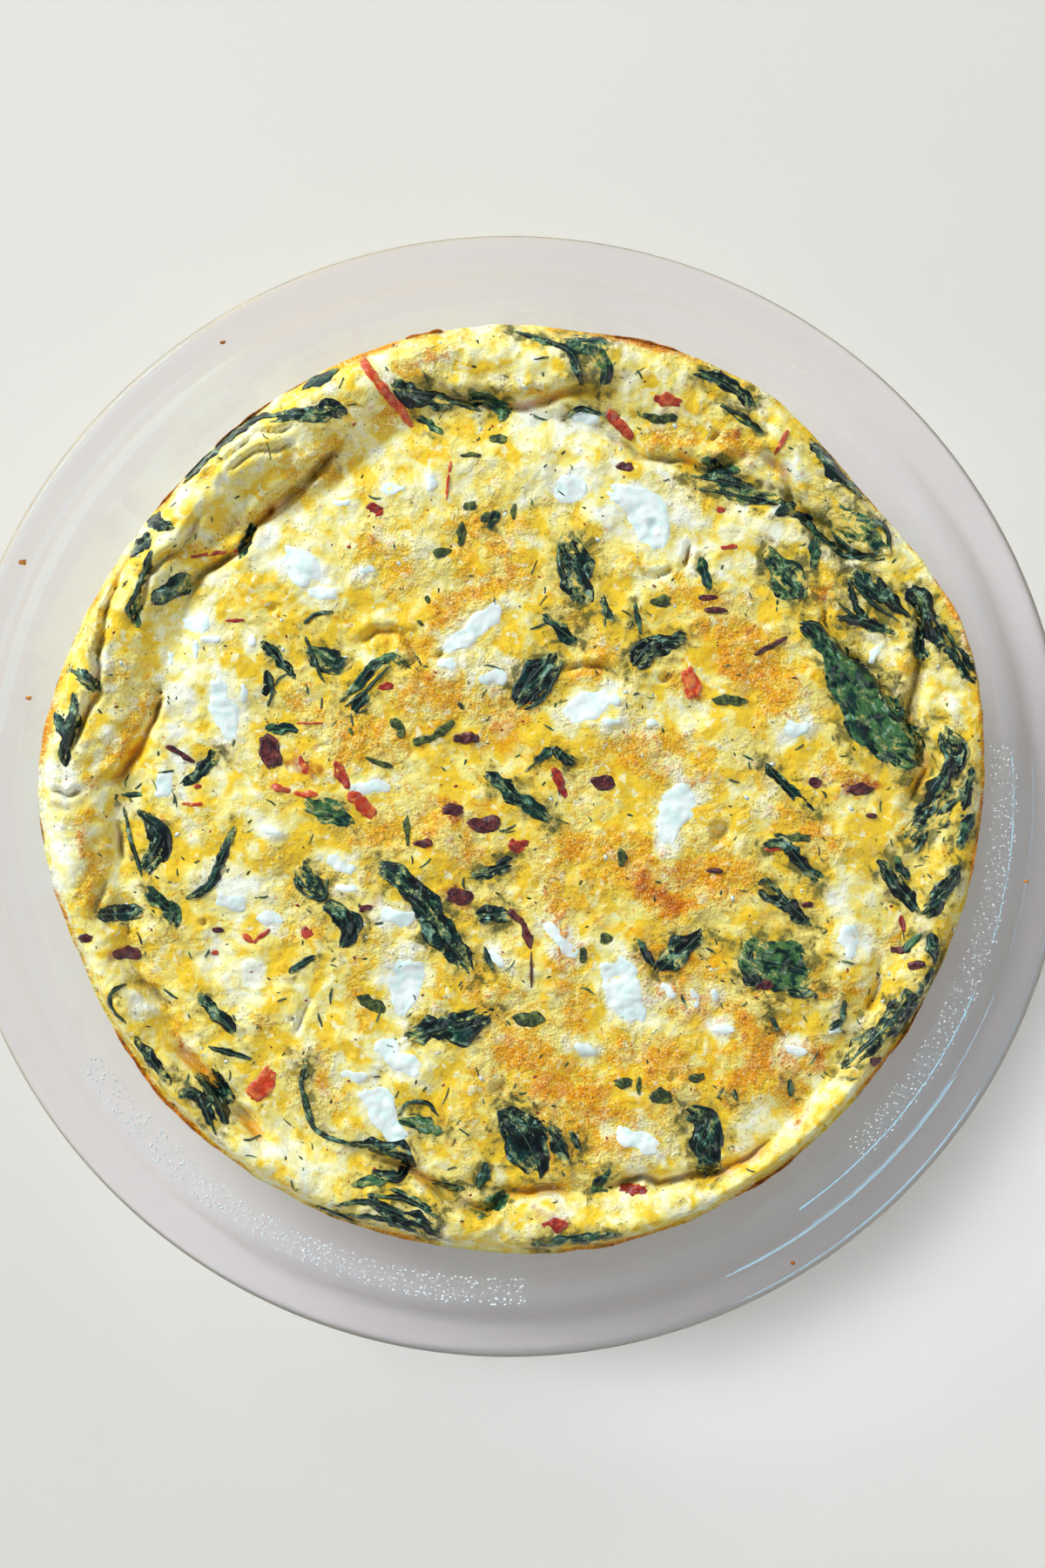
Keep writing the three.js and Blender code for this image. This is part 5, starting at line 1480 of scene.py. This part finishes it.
# %% [markdown]
# The glass profile is then turned into the dish.

# %% Glass dish
profile = dish_profile()
profile_mesh = bpy.data.meshes.new("glass_profile")
profile_steps = [(i, i + 1) for i in range(len(profile) - 1)]
profile_mesh.from_pydata([(r * MM, 0, z * MM) for r, z in profile], profile_steps, [])
DISH_SEGMENTS = 256
dish = turning_tree().apply("glass_pie_dish", profile_mesh, {
    "Profile Points": len(profile), "Segments": DISH_SEGMENTS, "Material": glass_look})
outward(dish)
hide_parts("glass_dish")
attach(dish, "root")
print("dish faces", len(dish.data.polygons), "size", [round(v, 4) for v in dish.dimensions])

# %% [markdown]
# Egg that boiled up stayed on the glass: a thin brown crust in patches just above the filling, two dark drips
# at the back, and a few crumbs on the flat rim. Each patch is a closed strip that lies on the wall.

# %% Baked-on egg on the glass
def crust_material():
    """Thin egg that dried brown on the glass."""
    look = Look("baked_on_egg")
    mottle, grain = look.noise(2.2, 4, 0.6, 23), look.noise(0.6, 3, 0, 33)
    colour = look.mix(paint(132, 58, 6), paint(222, 142, 40), (mottle * 0.6 + grain * 0.4).step(0.40, 0.62))
    relief = look.bump(mottle + grain * 0.5, 0.4, 0.6)
    return look.finish(look.plain(Base_Color=colour, Roughness=grain * 0.3 + 0.3, Normal=relief))


# From and to in degrees anticlockwise from +X, and height up the wall in mm
CRUSTS = [
    (113, 149, 1.2), (153, 175, 1.0), (181, 202, 0.6), (207, 231, 1.3), (242, 261, 0.5), (267, 283, 0.6),
    (299, 337, 1.5), (343, 365, 0.7), (98, 103, 2.4), (68, 79, 1.5), (24, 46, 0.5),
]
CRUST_STEP = 0.35
CRUST_ROWS = 5


def wall_grid(start, end, columns, rows):
    """Angles from start to end in degrees, and shares from 0 to 1 up the wall."""
    return np.meshgrid(np.radians(np.linspace(start, end, columns)), np.linspace(0, 1, rows), indexing="ij")


def crust_strip(crust, seed):
    """A thin ragged strip on the wall just above the filling."""
    start, end, height = crust
    turn, up = wall_grid(start, end, int((end - start) / CRUST_STEP) + 2, CRUST_ROWS)
    share = (np.degrees(turn) - start) / (end - start)
    taper = np.sqrt(np.clip(1 - (2 * share - 1) ** 2, 0, 1))
    ragged = 0.6 + 0.7 * rough_noise(110 * turn, 0 * turn + 5 * seed, 14, 4, seed)
    z = edge_height(turn) - 0.9 + (0.6 + 0.7 * height * np.clip(ragged, 0.05, 1.6) * taper) * up
    bulge = 0.12 * np.sin(np.pi * np.clip(up, 0.08, 0.92)) * (1 + 0.5 * noise(110 * turn, 9 * up, 1.5, 4))
    inner, outer = wall_radius(z) - bulge, wall_radius(z) + 0.12
    points, faces = closed_sheet(on_circle(inner, turn, z), on_circle(outer, turn, z))
    return points, faces[:, ::-1], {}


def crumb(place, seed):
    """A small dome on the flat rim, from a place and a width in pixels."""
    px, py, width = place
    cx, cy = plan(px, py)
    a, b = np.meshgrid(np.linspace(-1, 1, 9), np.linspace(-1, 1, 9), indexing="ij")
    round_a, round_b = a * np.sqrt(1 - b * b / 2), b * np.sqrt(1 - a * a / 2)
    half = 0.5 * width / PX_PER_MM
    uneven = half * (1 + 0.5 * noise(3 * a, 3 * b, 2, seed))
    x, y = cx + uneven * round_a, cy + 0.7 * uneven * round_b
    dome = np.sqrt(np.clip(1 - round_a ** 2 - round_b ** 2, 0, 1))
    base = DISH_HEIGHT - 0.1
    top = np.stack([x, y, base + 0.15 + 0.7 * half * dome], -1)
    under = np.stack([x, y, np.full_like(x, base)], -1)
    points, faces = closed_sheet(top, under)
    return points, faces, {}


crust_look = crust_material()
outward(add_bits("baked_on_crust", CRUSTS, crust_look, crust_strip, 700))
CRUMBS = [(36, 650, 9), (43, 803, 7), (1168, 1010, 6), (262, 402, 6), (905, 1440, 6)]
outward(add_bits("crumbs_on_the_rim", CRUMBS, crust_look, crumb, 720))

# %% [markdown]
# Water that rose from the hot filling left small drops on the wall. The scattering nodes lay them on two
# patches of the wall.

# %% Water drops on the wall
def water_material():
    look = Look("water_drops")
    tint = look.mix(paint(236, 246, 255), paint(250, 254, 255), look.noise(5, 2))
    return look.finish(look.plain(Base_Color=tint, Roughness=0.05, Transmission_Weight=0.3, IOR=1.33))


PATCH_COLUMNS, PATCH_ROWS = 40, 6


def wall_patch(start, end, low, high):
    """A bare patch of the inner wall that carries the scattered drops."""
    turn, up = wall_grid(start, end, PATCH_COLUMNS, PATCH_ROWS)
    z = low + (high - low) * up
    points = on_circle(wall_radius(z) - 0.02, turn, z).reshape(-1, 3)
    quads, _ = grid_faces(PATCH_COLUMNS, PATCH_ROWS)
    mesh = bpy.data.meshes.new("wall_patch")
    mesh.from_pydata((points * MM).tolist(), [], np.roll(quads[:, ::-1], 1, axis=1).tolist())
    return mesh


water_look = water_material()
# Name, from and to in degrees, drops in a square metre, seed, largest in metres
DROPS = [("drops_lower_left", 212, 272, 1000000, 11, 0.00042), ("drops_right", 314, 366, 900000, 13, 0.00028)]
DROPS_LOW, DROPS_HIGH, SMALLEST_DROP = 27.6, 33.8, 0.00006
for name, start, end, density, seed, largest in DROPS:
    patch = wall_patch(start, end, DROPS_LOW, DROPS_HIGH)
    scatter(name, patch, "glass", water_look, density, SMALLEST_DROP, largest, (1, 1, 0.4), seed)

# %% [markdown]
# ## Floor, light and camera
# A plain pale floor, a large soft window light from the upper left, and a camera straight above the dish.

# %% Floor
FLOOR_HALF, FLOOR_BELOW = 2.0, 0.0004
floor_mesh = bpy.data.meshes.new("floor")
corners = [(FLOOR_HALF * x, FLOOR_HALF * y, 0) for x, y in ((-1, -1), (1, -1), (1, 1), (-1, 1))]
floor_mesh.from_pydata(corners, [], [(0, 1, 2, 3)])
floor_mesh.materials.append(floor_look)
floor = bpy.data.objects.new("floor", floor_mesh)
bpy.context.scene.collection.objects.link(floor)
floor.location.z = -FLOOR_BELOW


# %% Lights
def area_light(name, place, aim, size, power, colour, lights_surfaces, is_mirrored):
    data = bpy.data.lights.new(name, "AREA")
    data.shape = "RECTANGLE"
    data.size, data.size_y = size
    data.energy = power
    data.color = colour
    lamp = bpy.data.objects.new(name, data)
    lamp.location = place
    lamp.rotation_euler = (Vector(aim) - Vector(place)).to_track_quat("-Z", "Y").to_euler()
    bpy.context.scene.collection.objects.link(lamp)
    lamp.visible_diffuse, lamp.visible_glossy = lights_surfaces, is_mirrored


# The window lights the dish, and a dimmer copy of it is what the wet surface mirrors, so that a low view
# isn't dazzled. Two strips give the glass its bright lines.
# Name, place, what it points at, size, power, colour, whether it lights surfaces and whether they mirror it
WINDOW_PLACE, WINDOW_SIZE = (-1.7, 1.9, 1.5), (1.5, 0.75)
DISH_MIDDLE, DISH_RIM = (0, 0, 0.02), (0, 0, 0.03)
LIGHTS = [
    ("window", WINDOW_PLACE, DISH_MIDDLE, WINDOW_SIZE, 98, (0.94, 1.0, 0.985), True, False),
    ("window_sheen", WINDOW_PLACE, DISH_MIDDLE, WINDOW_SIZE, 38, (0.86, 0.97, 1.0), False, True),
    ("sky_strip", (-1.9, 1.5, 0.84), DISH_RIM, (1.4, 0.14), 15, (0.50, 0.85, 1.0), False, True),
    ("side_strip", (-2.4, 0.25, 0.80), DISH_RIM, (0.9, 0.10), 7, (0.55, 0.88, 1.0), False, True),
    ("fill", (1.8, -1.0, 2.2), DISH_MIDDLE, (1.8, 1.8), 17, (0.95, 0.98, 1.0), True, True),
]
for light in LIGHTS:
    area_light(*light)
print(len(LIGHTS), "lights")


def soft_room(zenith, horizon):
    """A pale room that is darker overhead."""
    world = bpy.data.worlds.new("soft_room")
    world.use_nodes = True
    tree = world.node_tree
    way = tree.nodes.new("ShaderNodeSeparateXYZ")
    tree.links.new(tree.nodes.new("ShaderNodeTexCoord").outputs["Generated"], way.inputs[0])
    level = tree.nodes.new("ShaderNodeMapRange")
    tree.links.new(way.outputs["Z"], level.inputs["Value"])
    for name, value in (("From Min", 0.55), ("From Max", 0.95), ("To Min", horizon), ("To Max", zenith)):
        level.inputs[name].default_value = value
    background = tree.nodes["Background"]
    background.inputs["Color"].default_value = (0.94, 0.97, 1.0, 1)
    tree.links.new(level.outputs["Result"], background.inputs["Strength"])
    return world


bpy.context.scene.world = soft_room(0.14, 0.44)
bpy.context.scene.view_settings.view_transform = "Standard"

# %% Camera
EYE_HEIGHT = 0.636
HALF_HEIGHT_AT_RIM = 0.16725
EYE_ABOVE_RIM = 0.600
SENSOR_MM = 36
camera_data = bpy.data.cameras.new("camera")
camera_data.sensor_fit = "VERTICAL"
camera_data.sensor_height = SENSOR_MM
camera_data.lens = 0.5 * SENSOR_MM * EYE_ABOVE_RIM / HALF_HEIGHT_AT_RIM
camera_data.clip_start = 0.01
camera = bpy.data.objects.new("camera", camera_data)
camera.location = (VIEW_AXIS_MM[0] * MM, VIEW_AXIS_MM[1] * MM, EYE_HEIGHT)
bpy.context.scene.collection.objects.link(camera)
bpy.context.scene.camera = camera
